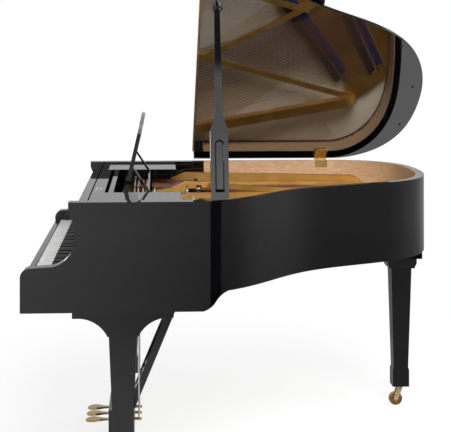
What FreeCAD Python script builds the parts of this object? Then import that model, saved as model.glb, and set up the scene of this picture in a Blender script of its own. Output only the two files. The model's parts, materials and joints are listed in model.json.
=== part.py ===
import FreeCAD, Part
import math
import os
from FreeCAD import Vector as V

# Grand piano with a raised lid, in millimetres.
# X runs from the keyboard end to the tail, Y from the treble side to the bass side, Z up.
# The model is drawn from the front of the arms and the treble face,
# and is moved at the end so that the origin lies on the floor under the middle of its box.

# Case
width = 1470.0
rim_length = 1512.0
rim_top = 985.0
rim_bottom = 693.0
arm_bottom = 630.0
rim_thick = 30.0
arm_thick = 50.0
arm_join_x = 600.0
ogee_start_x = 589.0
ogee_end_x = 672.0
ogee_sag = 12.0
rim_curve_shares = [(0.4034, 0.0), (0.461, 0.028), (0.5185, 0.0898), (0.643, 0.239), (0.768, 0.316),
                    (0.9, 0.396), (0.9464, 0.4495), (0.9888, 0.5646), (1.0, 0.728), (0.9762, 0.8735),
                    (0.9365, 0.938), (0.8902, 0.9755), (0.805, 1.0)]
nose_height = 144.0
nose_round = 30.0
nose_length = 102.0
nose_rise = 4.0
scroll_depth_x = 177.0
scroll_mid_x = 160.0
scroll_mid_z = 817.0
scroll_z = 876.0
cheek_mid_x = 169.0
cheek_mid_z = 918.0
cheek_x = 154.0
cheek_z = 964.0
veneer_thick = 2.0
veneer_front_x = 650.0
inner_rim_thick = 58.0
slack = 0.3
overrun = 5.0

# Back frame and soundboard
belly_x = 602.0
belly_thick = 40.0
belly_bottom = 676.0
post_height = 100.0
post_width = 70.0
post_bottom = 700.0
post_start_shares = (0.22, 0.5, 0.78)
post_end_shares = ((0.66, 0.42), (0.94, 0.6), (0.93, 0.82))
board_top = 846.0
board_thick = 8.0
rib_height = 18.0
rib_width = 22.0
rib_count = 7
rib_angle = -36.0
rib_line_shares = ((0.5, 0.2), (0.86, 0.86))

# Keybed, keys and action
keybed_front_x = 4.0
keybed_thick = 45.0
slip_thick = 23.0
slip_top = 738.0
key_count_white = 52
key_front_x = 31.0
key_top = 742.0
key_thick = 22.0
key_length = 388.0
key_gap = 1.0
key_inset = 122.7
head_length = 50.0
sharp_width = 10.0
sharp_rise = 12.0
sharp_length = 95.0
key_pivot_x = 271.0
shift_travel = 3.0
block_top = 744.0
block_length = 150.0
rail_width = 40.0
frame_thick = 22.0
frame_rear_x = 450.0
front_rail_inset = 8.0
front_rail_room = 3.0
balance_ridge = 3.0
key_dip = 10.0
pin_block_front_x = 330.0
pin_block_rear_x = 520.0
pin_block_thick = 38.0
note_count = 88
bass_notes = 26
single_notes = 10
tenor_notes = 24
treble_notes = 19
bass_break = 40.0
treble_break = 26.0
first_note_inset = 129.4
hammer_pivot_x = 441.0
butt_length = 2.7
hammer_pivot_z = 822.0
shank_length = 118.0
shank_thick = 8.0
hammer_width = 9.0
hammer_head = 20.0
hammer_tip = 8.0
hammer_height = 66.0
hammer_drop = 20.0
action_rail_width = 12.0
action_rail_height = 22.0
bracket_thick = 14.0
bracket_shares = (0.02, 0.335, 0.578, 0.78, 0.98)

# Iron plate, strings and what they pass
plate_front_x = 300.0
plate_rear_x = 540.0
plate_field_top = 890.0
plate_thick = 10.0
web_top = 874.0
web_inset = 8.0
strut_width = 24.0
strut_foot = 40.0
strut_rise = 15.0
strut_heel = 60.0
strut_toe = 30.0
strut_x = 506.0
strut_a_inset = 98.0
strut_b_step = 13.0
strut_branch_share = 0.175
strut_reach = 124.0
web_shares = [(0.864, 0.845), (0.93, 0.808), (1.0, 0.73)]
long_bridge_shares = [(0.8247, 0.7707), (0.6746, 0.5578), (0.582, 0.4218), (0.5027, 0.272), (0.4365, 0.0918)]
bass_bridge_shares = [(0.926, 0.7395), (0.838, 0.553)]
strut_a_share = (0.882, 0.832)
strut_b_share = (0.878, 0.828)
strut_c_share = (0.79, 0.51)
edge_heights = (895.0, 944.0, 895.0, 940.0)
cross_heights = (930.0, 943.0, 907.0, 920.0)
low_heights = (916.0, 935.0, 908.0, 926.0)
edge_strut_width = 40.0
ramp_x = 414.0
ramp_front = 18.0
ramp_lap = 10.0
bridge_width = 30.0
bridge_top = 884.0
bass_bridge_top = 892.0
bridge_margin = 14.0
bridge_break_steps = 3
hitch_back = 82.0
treble_hitch_back = 56.0
bass_hitch_back = 62.0
pin_side = 3.4
pin_top = 925.0
pin_row_step = 34.0
pin_stagger = 15.0
pin_field_x = 352.0
pin_gap = 3.9
hitch_gap = 2.6
plain_coil_z = 903.0
bass_coil_z = 916.0
string_rest_x = 535.0
plain_side = 1.3
bass_side = 3.4
hitch_pin_side = 3.0
string_end_share = 0.75
string_lift = 1.6
bolt_radius = 9.0
bolt_head = 12.0
bolt_inset = 22.0
bolt_shares = (0.12, 0.28, 0.43, 0.55, 0.66)
field_bolt_x = 460.0
felt_width = 8.0
felt_thick = 3.0
felt_front_x = 478.0
felt_front_width = 22.0
damper_front_x = 602.0
damper_length = 14.0
damper_width = 9.0
damper_height = 8.0
damper_notes = 66

# Legs and casters
front_leg_x = 328.0
front_leg_inset = 106.0
leg_plate_length = 332.0
leg_plate_thick = 32.0
leg_cove_drop = 61.0
leg_cove_flat = 27.0
leg_shoulder = 4.0
cove_mid_share_x = 0.36
cove_mid_share_z = 0.64
front_leg_top = 92.0
rear_leg_top = 84.0
leg_foot = 61.0
leg_foot_z = 160.0
cuff_side = 68.0
cuff_bottom = 82.0
cuff_bevel = 8.0
rear_leg_share = (0.959, 0.7415)
rear_cap_side = 120.0
rear_cap_top = 597.0
rear_cap_bottom = 574.0
rear_cap_bevel = 16.0
rear_block_side = 150.0
block_inset = 7.0
block_bottom = 650.0
block_start_share = 0.56
wheel_radius = 27.0
wheel_width = 18.0
wheel_rim = 4.0
wheel_tread = 8.0
axle_radius = 4.0
run_gap = 0.05
caster_trail = 17.0
fork_thick = 5.0
fork_gap = 1.0
fork_width = 22.0
swivel_radius = 6.0
swivel_length = 40.0
fork_plate = 7.0
fork_top_gap = 1.0

# Pedal lyre
lyre_box_front_x = 262.0
lyre_box_length = 96.0
lyre_box_width = 290.0
lyre_box_bottom = 52.0
lyre_box_height = 90.0
lyre_head_height = 40.0
lyre_head_width = 250.0
lyre_post_width = 44.0
lyre_post_spread = 78.0
lyre_post_inset = 14.0
pedal_pitch = 78.0
pedal_tip_x = 174.0
pedal_z = 90.0
pedal_thick = 9.0
pedal_neck = 22.0
pedal_toe = 46.0
pedal_toe_length = 62.0
pedal_taper = 30.0
pedal_pivot_x = 300.0
pedal_rear_x = 384.0
pedal_slot_room = 16.0
pedal_side_room = 2.0
pedal_pin_seat = 6.0
pedal_pin_radius = 4.0
rod_radius = 3.0
rod_x = 374.0
rod_travel = 12.0
rod_gap = 0.9
brace_side = 30.0
brace_spread = 45.0
brace_foot_z = 158.0
brace_top_x = 555.0

# Lid, flap and their hinges
lid_gap = 3.0
lid_thick = 22.0
lid_overhang = 24.0
lid_shares = (0.83, 0.83, 0.7, 0.45, 0.4, 0.4, 0.5, 0.95, 1.0, 0.5, 0.3, 0.15, 0.0)
lid_open = 37.2
fold_x = 602.0
flap_length = 475.0
fold_room = 3.8
hinge_radius = 5.0
hinge_room = 0.5
hinge_leaf = 2.0
hinge_width = 54.0
hinge_shares = (0.467, 0.774)
hinge_reach = 75.0
hinge_turn_down = 30.0
hinge_pin = 2.0
hinge_knuckles = 3
hinge_slant = 18.0
strip_radius = 3.0
strip_leaf = 1.2
strip_depth = 15.0
strip_pin = 1.2
strip_step = 0.5
strip_knuckles = 9
strip_end_inset = 30.0
half_turn = 180.0
full_turn = 360.0
bumper_radius = 5.0
bumper_inset = 15.0
bumper_shares = (0.515, 0.66, 0.8)

# Lid prop
prop_x = 648.0
prop_y = 88.0
prop_z = 955.0
prop_lean = 18.0
prop_thick = 24.0
prop_base_width = 60.0
prop_base_length = 258.0
prop_neck_length = 52.0
prop_neck_width = 27.0
prop_mid_length = 690.0
prop_tip_width = 18.0
prop_ring_radius = 17.0
prop_ring_length = 26.0
prop_rod_radius = 7.0
prop_tip_gap = 0.5
prop_tip_slope = 3.0
prop_pin = 5.0
slot_width = 31.0
slot_start = 48.0
slot_end = 226.0
half_gap = 4.5
half_thick = 16.0
half_pin = 3.0
half_pin_seat = 6.0
bracket_wall = 7.0
bracket_low = 30.0

# Music desk
wing_front_x = 242.0
wing_rear_x = 522.0
wing_inner = 330.0
wing_top = 978.0
wing_thick = 6.0
wing_inset = 5.0
runner_width = 12.0
runner_height = 12.0
tray_rail_width = 24.0
tray_rail_height = 22.0
tray_board_front_x = 266.0
tray_board_length = 18.0
tray_board_drop = 8.0
tray_board_thick = 15.0
desk_pivot_x = 330.0
desk_pivot_z = 972.0
desk_lean = 13.0
desk_ear = 13.0
desk_height = 270.0
desk_shoulder = 214.0
desk_thick = 14.0
desk_foot = 6.0
bail_hinge = 85.0
bail_offset = 5.0
bail_angle = 33.0
bail_length = 112.0
bail_thick = 8.0
bail_strut = 18.0
bail_bar = 20.0
bail_inset = 8.0
rest_length = 16.0
rest_width = 30.0
desk_pin = 4.0
desk_end_gap = 0.5
desk_cheek = 10.0
bail_pin = 2.0
bail_lug = 12.0
bail_pin_seat = 10.0

# Fallboard and lock rail
fall_pivot_x = 181.0
fall_rear_x = 196.0
fall_pivot_z = 785.0
fall_bottom = 770.0
fall_top = 948.0
fall_thick = 20.0
fall_lip = 39.0
fall_lip_height = 23.0
fall_round = 10.0
fall_end_gap = 1.5
fall_pin = 4.0
fall_pin_length = 8.0
lock_rail_x = 200.0
lock_rail_width = 48.0
lock_rail_height = 28.0

lid_bottom = rim_top + lid_gap
lid_side = lid_overhang * lid_shares[0]
lid_top = lid_bottom + lid_thick
hinge_y = width + hinge_radius + hinge_room
hinge_z = rim_top + lid_gap / 2
keybed_top = arm_bottom + keybed_thick
treble_starts = (bass_notes + tenor_notes, bass_notes + tenor_notes + treble_notes)
web_bottom = web_top - plate_thick
web_offset = rim_thick + veneer_thick + web_inset
flap_top = lid_top + strip_step + strip_step + lid_thick
lid_sine = math.sin(math.radians(lid_open))
lid_cosine = math.cos(math.radians(lid_open))
centre_y = (hinge_y + (width - hinge_y) * lid_cosine + (flap_top - hinge_z) * lid_sine) / 2
middle_y = width / 2
lyre_y = middle_y
key_field = width - key_inset * 2
note_pitch = (width - first_note_inset * 2 - bass_break - treble_break * 2) / (note_count - 1)
rear_leg_x = rear_leg_share[0] * rim_length
rear_leg_y = rear_leg_share[1] * width
hinge_x = [share * rim_length for share in hinge_shares]
desk_half = middle_y - wing_inner - desk_ear

os.makedirs("parts", exist_ok=True)


def write(name, shape):
    moved = shape.copy()
    moved.translate(V(-centre_x, -centre_y, 0))
    moved.exportStep("parts/" + name + ".step")


def box(x0, x1, y0, y1, z0, z1):
    return Part.makeBox(x1 - x0, y1 - y0, z1 - z0, V(x0, y0, z0))


def rod(radius, start, end):
    run = end - start
    return Part.makeCylinder(radius, run.Length, start, run)


def joined(shapes):
    whole = shapes[0]
    for shape in shapes[1:]:
        whole = whole.fuse(shape)
    return whole.removeSplitter()


def outline(steps, place):
    # A step is a point for a line, or a pair of points for an arc through the first to the second.
    first = place(*steps[0])
    last = first
    edges = []
    for step in steps[1:]:
        if isinstance(step[0], tuple):
            end = place(*step[1])
            edges.append(Part.Arc(last, place(*step[0]), end).toShape())
        else:
            end = place(*step)
            edges.append(Part.makeLine(last, end))
        last = end
    if last.distanceToPoint(first) > run_gap:
        edges.append(Part.makeLine(last, first))
    return Part.Face(Part.Wire(edges))


def side_prism(steps, y0, y1):
    return outline(steps, lambda x, z: V(x, y0, z)).extrude(V(0, y1 - y0, 0))


def plan_prism(steps, z0, z1):
    return outline(steps, lambda x, y: V(x, y, z0)).extrude(V(0, 0, z1 - z0))


def turned(shape, about, axis, degrees):
    copy = shape.copy()
    copy.rotate(about, axis, degrees)
    return copy


def plan_point(share):
    return V(share[0] * rim_length, share[1] * width, 0)


def rim_spline(offset, shares=None):
    # The bent stretch of the rim, moved inwards by an offset, or by a share of it at each point.
    base = Part.BSplineCurve()
    points = [plan_point(share) for share in rim_curve_shares]
    base.interpolate(Points=points, InitialTangent=V(1, 0, 0), FinalTangent=V(-1, 0, 0), Scale=False)
    moved = []
    for point, share in zip(points, shares or [1] * len(points)):
        tangent = base.tangent(base.parameter(point))[0]
        moved.append(point + V(-tangent.y, tangent.x, 0) * (offset * share))
    curve = Part.BSplineCurve()
    curve.interpolate(Points=moved, InitialTangent=V(1, 0, 0), FinalTangent=V(-1, 0, 0), Scale=False)
    return curve, moved


centre_x = rim_spline(-lid_overhang, lid_shares)[0].toShape().optimalBoundingBox(False).XMax / 2


def plan_face(offset, front_x, z, shares):
    curve, points = rim_spline(offset, shares)
    treble = V(front_x, points[0].y, 0)
    bass = V(front_x, points[-1].y, 0)
    edges = [Part.makeLine(treble, points[0]), curve.toShape(), Part.makeLine(points[-1], bass),
             Part.makeLine(bass, treble)]
    face = Part.Face(Part.Wire(edges))
    face.translate(V(0, 0, z))
    return face


def behind(solid, front_x, z0, z1):
    # What lies towards the tail from a place where the bent stretch has already begun.
    return solid.cut(box(0, front_x, -rim_thick, width + rim_thick, z0, z1))


def plan_solid(offset, front_x, z0, z1, shares=None):
    solid = plan_face(offset, min(front_x, belly_x), z0, shares).extrude(V(0, 0, z1 - z0))
    return behind(solid, front_x, z0, z1) if front_x > belly_x else solid


def plan_band(outer, inner, front_x, z0, z1):
    outer_curve, outer_points = rim_spline(outer)
    inner_curve, inner_points = rim_spline(inner)
    x = min(front_x, belly_x)
    corners = [V(x, outer, 0), V(x, width - outer, 0), V(x, width - inner, 0), V(x, inner, 0)]
    edges = [Part.makeLine(corners[0], outer_points[0]), outer_curve.toShape(),
             Part.makeLine(outer_points[-1], corners[1]), Part.makeLine(corners[1], corners[2]),
             Part.makeLine(corners[2], inner_points[-1]), inner_curve.toShape(),
             Part.makeLine(inner_points[0], corners[3]), Part.makeLine(corners[3], corners[0])]
    band = Part.Face(Part.Wire(edges)).extrude(V(0, 0, z1 - z0))
    band.translate(V(0, 0, z0))
    return behind(band, front_x, z0, z1) if front_x > belly_x else band


def arm(y0, y1):
    nose_top = arm_bottom + nose_height
    shoulder = nose_round * (1 - math.sqrt(0.5))
    steps = [(0, arm_bottom), (0, nose_top - nose_round),
             ((shoulder, nose_top - shoulder), (nose_round, nose_top)),
             (nose_length, nose_top + nose_rise),
             ((scroll_mid_x, scroll_mid_z), (scroll_depth_x, scroll_z)),
             ((cheek_mid_x, cheek_mid_z), (cheek_x, cheek_z)),
             (cheek_x, rim_top), (arm_join_x, rim_top), (arm_join_x, arm_bottom)]
    return side_prism(steps, y0, y1)


def ogee_tool():
    # What is taken off below the rim, from the ogee at the back of the arms to the tail.
    middle_x = (ogee_start_x + ogee_end_x) / 2
    middle_z = (arm_bottom + rim_bottom) / 2
    first_x = (ogee_start_x + middle_x) / 2
    last_x = (middle_x + ogee_end_x) / 2
    first_z = (arm_bottom + middle_z) / 2
    last_z = (middle_z + rim_bottom) / 2
    low = arm_bottom - overrun
    far = rim_length + overrun
    steps = [(ogee_start_x, low), (ogee_start_x, arm_bottom),
             ((first_x, first_z - ogee_sag / 2), (middle_x, middle_z)),
             ((last_x, last_z + ogee_sag / 2), (ogee_end_x, rim_bottom)),
             (far, rim_bottom), (far, low)]
    return side_prism(steps, -overrun, width + overrun)


def hinge_recesses():
    return [box(x - hinge_width / 2, x + hinge_width / 2, width - rim_thick - veneer_thick - hinge_leaf,
                width + overrun, rim_top - hinge_leaf, rim_top) for x in hinge_x]


def fall_pin_holes():
    centre = V(fall_pivot_x, arm_thick, fall_pivot_z)
    treble = Part.makeCylinder(fall_pin + run_gap, fall_pin_length, centre, V(0, -1, 0))
    bass = Part.makeCylinder(fall_pin + run_gap, fall_pin_length,
                             V(fall_pivot_x, width - arm_thick, fall_pivot_z), V(0, 1, 0))
    return [treble, bass]


def case_rim():
    band = plan_band(0, rim_thick, arm_join_x - overrun, arm_bottom, rim_top)
    whole = joined([band, arm(0, arm_thick), arm(width - arm_thick, width)])
    for cut in [ogee_tool()] + hinge_recesses() + fall_pin_holes():
        whole = whole.cut(cut)
    return whole


def inner_veneer():
    band = plan_band(rim_thick, rim_thick + veneer_thick, veneer_front_x, board_top, rim_top)
    for cut in hinge_recesses():
        band = band.cut(cut)
    return band


def inner_rim():
    inner = rim_thick + inner_rim_thick
    return plan_band(rim_thick, inner, belly_x + belly_thick, rim_bottom, board_top - board_thick)


def back_frame():
    inner = rim_thick + inner_rim_thick
    belly = box(belly_x, belly_x + belly_thick, arm_thick, width - arm_thick,
                belly_bottom, board_top - board_thick)
    inside = plan_solid(inner, belly_x + belly_thick, post_bottom, post_bottom + post_height)
    posts = []
    for start, end in zip(post_start_shares, post_end_shares):
        a = V(belly_x + belly_thick, start * width, 0)
        b = plan_point(end)
        along = (b - a).normalize()
        across = V(-along.y, along.x, 0) * (post_width / 2)
        far = b + along * (inner + post_width + post_width)
        near = a - along * post_width
        corners = [near + across, far + across, far - across, near - across]
        post = plan_prism([(c.x, c.y) for c in corners], post_bottom, post_bottom + post_height)
        posts.append(post.common(inside))
    return Part.makeCompound([belly] + posts)


def soundboard():
    return plan_solid(rim_thick, belly_x, board_top - board_thick, board_top)


def soundboard_ribs():
    inner = rim_thick + inner_rim_thick + slack
    low = board_top - board_thick - rib_height
    high = board_top - board_thick
    inside = plan_solid(inner, belly_x + belly_thick + slack, low, high)
    along = V(math.cos(math.radians(rib_angle)), math.sin(math.radians(rib_angle)), 0)
    across = V(-along.y, along.x, 0) * (rib_width / 2)
    ribs = []
    for index in range(rib_count):
        middle = plan_point(rib_line_shares[0]) * (1 - index / (rib_count - 1))
        middle = middle + plan_point(rib_line_shares[1]) * (index / (rib_count - 1))
        far = middle + along * rim_length
        near = middle - along * rim_length
        corners = [near + across, far + across, far - across, near - across]
        ribs.append(plan_prism([(c.x, c.y) for c in corners], low, high).common(inside))
    return Part.makeCompound([solid for rib in ribs for solid in rib.Solids])


def spline(points):
    curve = Part.BSplineCurve()
    curve.interpolate(points)
    return curve


def shifted_points(points, offset):
    # The points of an open curve, moved to its right by an offset.
    if len(points) == 2:
        along = (points[1] - points[0]).normalize()
        return [point + V(along.y, -along.x, 0) * offset for point in points]
    curve = spline(points)
    moved = []
    for point in points:
        tangent = curve.tangent(curve.parameter(point))[0]
        moved.append(point + V(tangent.y, -tangent.x, 0) * offset)
    return moved


def stretched(points, extra):
    first = (points[0] - points[1]).normalize() * extra
    last = (points[-1] - points[-2]).normalize() * extra
    return [points[0] + first] + points[1:-1] + [points[-1] + last]


def path_edge(points):
    return Part.makeLine(points[0], points[1]) if len(points) == 2 else spline(points).toShape()


def ribbon(points, left, right, z0, z1):
    # A strip along a curve, between two offsets to its right.
    a = shifted_points(points, left)
    b = shifted_points(points, right)
    edges = [path_edge(a), Part.makeLine(a[-1], b[-1]), path_edge(b), Part.makeLine(b[0], a[0])]
    strip = Part.Face(Part.Wire(Part.__sortEdges__(edges))).extrude(V(0, 0, z1 - z0))
    strip.translate(V(0, 0, z0))
    return strip


long_bridge_points = [plan_point(share) for share in long_bridge_shares]
bass_bridge_points = [plan_point(share) for share in bass_bridge_shares]


def long_bridge():
    half = bridge_width / 2
    return ribbon(stretched(long_bridge_points, bridge_margin), -half, half, board_top, bridge_top)


def bass_bridge():
    half = bridge_width / 2
    return ribbon(stretched(bass_bridge_points, bridge_margin), -half, half, board_top, bass_bridge_top)


def note_y(note):
    # Notes are counted from the bass, and the gaps at the struts come after each section.
    gaps = bass_break if note >= bass_notes else 0
    gaps += treble_break * len([first for first in treble_starts if note >= first])
    return width - first_note_inset - note * note_pitch - gaps


def break_y(first):
    return (note_y(first - 1) + note_y(first)) / 2


def bridge_place(note):
    if note < bass_notes:
        share = note / (bass_notes - 1)
        return bass_bridge_points[0] * (1 - share) + bass_bridge_points[1] * share
    curve = spline(long_bridge_points)
    share = bridge_step(note) / bridge_step(note_count - 1)
    return place_along(curve, share)


def bridge_step(note):
    # Steps along the long bridge, with a wider one where a strut passes over it.
    passed = [first for first in treble_starts if note >= first]
    return note - bass_notes + bridge_break_steps * len(passed)


def strings_of(note):
    # Each string as its tuning pin, its hitch pin and its height at both, from the bass side.
    bass = note < bass_notes
    count = 1 if note < single_notes else 2 if bass else 3
    front = V(string_rest_x, note_y(note), 0)
    bridge = bridge_place(note)
    along = (bridge - front).normalize()
    across = V(-along.y, along.x, 0)
    share = 0 if bass else (note - bass_notes) / (note_count - bass_notes - 1)
    back = bass_hitch_back if bass else hitch_back * (1 - share) + treble_hitch_back * share
    top = bass_bridge_top if bass else bridge_top
    coil = bass_coil_z if bass else plain_coil_z
    side = bass_side if bass else plain_side
    strings = []
    for index in range(count):
        step = index - (count - 1) / 2
        row_x = pin_field_x + pin_row_step * index + pin_stagger * (note % 2)
        pin = front + along * ((row_x - string_rest_x) / along.x) + across * (step * pin_gap)
        hitch = bridge + along * back + across * (step * hitch_gap)
        reach = (bridge - front).Length + (string_rest_x - row_x) / along.x
        fall = (top + string_lift + side / 2 - coil) / reach
        strings.append((pin + V(0, 0, coil), hitch + V(0, 0, coil + fall * (reach + back))))
    return strings


def string_prism(start, end, side):
    along = (end - start).normalize()
    across = V(-along.y, along.x, 0).normalize() * (side / 2)
    up = along.cross(across).normalize() * (side / 2)
    corners = [start - across + up, start + across + up, start - up]
    face = Part.Face(Part.makePolygon(corners + corners[:1]))
    return face.extrude(end - start)


def strung(first, last, side):
    prisms = []
    for note in range(first, last):
        for pin, hitch in strings_of(note):
            along = (hitch - pin).normalize()
            start = pin + along * (pin_side * string_end_share)
            end = hitch - along * (hitch_pin_side * string_end_share)
            prisms.append(string_prism(start, end, side))
    return Part.makeCompound(prisms)


def string_height(note, x):
    strings = strings_of(note)
    return max(pin.z + (hitch.z - pin.z) * (x - pin.x) / (hitch.x - pin.x) for pin, hitch in strings)


def string_y(note, x):
    strings = strings_of(note)
    places = [pin.y + (hitch.y - pin.y) * (x - pin.x) / (hitch.x - pin.x) for pin, hitch in strings]
    return sum(places) / len(places)


def square_pin(place, side, z0, z1):
    half = side / 2
    return box(place.x - half, place.x + half, place.y - half, place.y + half, z0, z1)


def tuning_pins():
    pins = []
    for note in range(note_count):
        for pin, hitch in strings_of(note):
            pins.append(square_pin(pin, pin_side, plate_field_top, pin_top))
    return Part.makeCompound(pins)


def plate_fixings():
    # Hitch pins, the nuts on the plate and the collars that carry it on the inner rim.
    pieces = []
    for note in range(note_count):
        ends = [hitch for pin, hitch in strings_of(note)]
        pieces.append(square_pin(ends[0], hitch_pin_side, web_top, ends[0].z + hitch_pin_side))
        if len(ends) > 1:
            pieces.append(square_pin(ends[-1], hitch_pin_side, web_top, ends[-1].z + hitch_pin_side))
    for place in bolt_places():
        pieces.append(rod(bolt_radius, place + V(0, 0, board_top), place + V(0, 0, web_bottom)))
        pieces.append(rod(bolt_radius, place + V(0, 0, web_top), place + V(0, 0, web_top + bolt_head)))
    for first in treble_starts:
        y = (string_y(first - 1, field_bolt_x) + string_y(first, field_bolt_x)) / 2
        place = V(field_bolt_x, y, plate_field_top)
        pieces.append(rod(bolt_radius, place, place + V(0, 0, bolt_head)))
    return Part.makeCompound(pieces)


def place_along(curve, share):
    return curve.value(curve.parameterAtDistance(curve.length() * share, curve.FirstParameter))


def bolt_places():
    curve = rim_spline(web_offset + bolt_inset)[0]
    return [place_along(curve, share) for share in bolt_shares]


def plate_web():
    face = plan_solid(web_offset, veneer_front_x, web_bottom, web_top)
    edge = shifted_points(stretched(long_bridge_points, bridge_margin), -(bridge_width / 2 + bridge_margin))
    edge = edge[::-1]
    corner = [plan_point(share) for share in web_shares]
    far_x = rim_length + rim_thick
    far_y = width + rim_thick
    near_x = veneer_front_x - rim_thick
    tail = corner + [V(far_x, corner[-1].y, 0), V(far_x, far_y, 0), V(near_x, far_y, 0),
                     V(near_x, edge[0].y, 0), edge[0]]
    edges = [spline(edge).toShape()]
    last = edge[-1]
    for point in tail:
        edges.append(Part.makeLine(last, point))
        last = point
    tool = Part.Face(Part.Wire(edges)).extrude(V(0, 0, plate_thick))
    tool.translate(V(0, 0, web_bottom))
    slot = bridge_width / 2 + bridge_margin
    opening = ribbon(stretched(bass_bridge_points, slot), -slot, slot, web_bottom, web_top)
    return face.cut(tool).cut(opening)


def strut(start, end, heights, breadth, foot):
    # A raised bar that stands on the pin field, or on another bar, and comes down onto the web.
    # Its heights are the underside and top at the front, then the same at the rear.
    under, top, rear_under, rear_top = heights
    along = end - start
    length = along.Length
    heel = length - strut_heel
    low_heel = web_top - plate_thick / 2
    foot_top = plate_field_top + strut_toe if foot else top
    rise = strut_foot + strut_rise if foot else strut_toe
    steps = [(0, foot_top), (rise, top), (heel, rear_top), (length, web_top + strut_toe), (length, low_heel),
             (heel + strut_toe, low_heel), (heel, rear_under)]
    if foot:
        low = plate_field_top - plate_thick / 2
        steps += [(strut_foot + strut_rise, under), (strut_foot, low), (0, low)]
    else:
        steps += [(0, under)]
    bar = side_prism(steps, -breadth / 2, breadth / 2)
    bar.rotate(V(0, 0, 0), V(0, 0, 1), math.degrees(math.atan2(along.y, along.x)))
    bar.translate(start)
    return bar


def ramp_y():
    return break_y(bass_notes) - strut_b_step


def ramp():
    # The long toe of the crossing strut, between the bass pins and the next ones.
    low = plate_field_top - plate_thick / 2
    end = strut_x + ramp_lap
    steps = [(ramp_x, low), (ramp_x, plate_field_top + ramp_front),
             (end, plate_field_top + strut_toe), (end, low)]
    return side_prism(steps, ramp_y() - strut_width / 2, ramp_y() + strut_width / 2)


def iron_plate():
    field = box(plate_front_x, plate_rear_x, arm_thick + slack, width - arm_thick - slack,
                plate_field_top - plate_thick, plate_field_top)
    a_start = V(strut_x, width - strut_a_inset, 0)
    b_start = V(strut_x, ramp_y(), 0)
    b_end = plan_point(strut_b_share)
    branch = b_start + (b_end - b_start) * strut_branch_share
    bars = [strut(a_start, plan_point(strut_a_share), edge_heights, edge_strut_width, True),
            strut(b_start, b_end, cross_heights, strut_width, True), ramp(),
            strut(branch, plan_point(strut_c_share), low_heights, strut_width, False)]
    for first in treble_starts:
        front = V(string_rest_x, break_y(first), 0)
        bridge = (bridge_place(first - 1) + bridge_place(first)) / 2
        along = (bridge - front).normalize()
        start = front + along * ((strut_x - string_rest_x) / along.x)
        bars.append(strut(start, bridge + along * strut_reach, low_heights, strut_width, True))
    return joined([field, plate_web()] + bars)


def pin_block():
    return box(pin_block_front_x, pin_block_rear_x, arm_thick, width - arm_thick,
               plate_field_top - plate_thick - pin_block_thick, plate_field_top - plate_thick)


def string_felts():
    near = bridge_width / 2 + bridge_margin + slack
    far = near + felt_width
    long_felt = ribbon(long_bridge_points, -far, -near, web_top, web_top + felt_thick)
    bass_felt = ribbon(bass_bridge_points, -far, -near, web_top, web_top + felt_thick)
    front = box(felt_front_x, felt_front_x + felt_front_width, note_y(note_count - 1) - note_pitch,
                note_y(0) + note_pitch, plate_field_top, plate_field_top + felt_thick)
    half = strut_width / 2 + slack
    front = front.cut(box(felt_front_x, strut_x, ramp_y() - half, ramp_y() + half, plate_field_top, pin_top))
    return Part.makeCompound([long_felt, bass_felt] + front.Solids)


def dampers():
    heads = []
    for note in range(damper_notes):
        middle_x = damper_front_x + damper_length / 2
        y = string_y(note, middle_x)
        side = bass_side if note < bass_notes else plain_side
        z = string_height(note, damper_front_x) + side / 2 + slack
        half = damper_width / 2
        heads.append(box(damper_front_x, damper_front_x + damper_length, y - half, y + half,
                         z, z + damper_height))
    return Part.makeCompound(heads)


def keybed():
    return box(keybed_front_x, ogee_start_x, arm_thick, width - arm_thick, arm_bottom, keybed_top)


def key_slip():
    rear = keybed_front_x + slip_thick
    return box(keybed_front_x, rear, arm_thick, width - arm_thick, keybed_top, slip_top)


def key_blocks():
    rear = key_front_x + block_length
    front = keybed_front_x + slip_thick
    inner = key_inset - shift_travel - slack - key_gap
    return Part.makeCompound([box(front, rear, arm_thick, inner, keybed_top, block_top),
                              box(front, rear, width - inner, width - arm_thick, keybed_top, block_top)])


def key_frame():
    low = key_inset
    high = width - low
    under = key_top - key_thick
    low_z = keybed_top + slack
    rear = key_front_x + key_length
    front = box(key_front_x + front_rail_inset, key_front_x + front_rail_inset + rail_width, low, high,
                low_z, under - key_dip - slack - front_rail_room)
    half = rail_width / 2
    balance = box(key_pivot_x - half, key_pivot_x + half, low, high, low_z, under - balance_ridge)
    ridge = box(key_pivot_x - balance_ridge, key_pivot_x + balance_ridge, low, high, low_z, under - slack)
    back = box(rear - rail_width, frame_rear_x, low, high, low_z, under - slack)
    strips = [box(key_front_x + front_rail_inset, frame_rear_x, y, y + half, low_z, low_z + frame_thick)
              for y in (low, high - half)]
    return joined([front, balance, ridge, back] + strips)


def action_rail():
    low = key_inset
    under = key_top - key_thick - slack
    rail_top = hammer_pivot_z - shank_thick / 2 + slack
    rail_x = hammer_pivot_x - butt_length - slack
    rail = box(rail_x - action_rail_width, rail_x, low, width - low, rail_top - action_rail_height, rail_top)
    brackets = [box(rail_x - action_rail_width, rail_x, low + share * key_field - bracket_thick / 2,
                    low + share * key_field + bracket_thick / 2, under, rail_top - action_rail_height)
                for share in bracket_shares]
    return joined([rail] + brackets)


white_names = "ABCDEFG"


def has_sharp_above(index):
    # Whether a black key stands between this white key and the next one up.
    return white_names[index % len(white_names)] in "ACDFG" and index < key_count_white - 1


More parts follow.
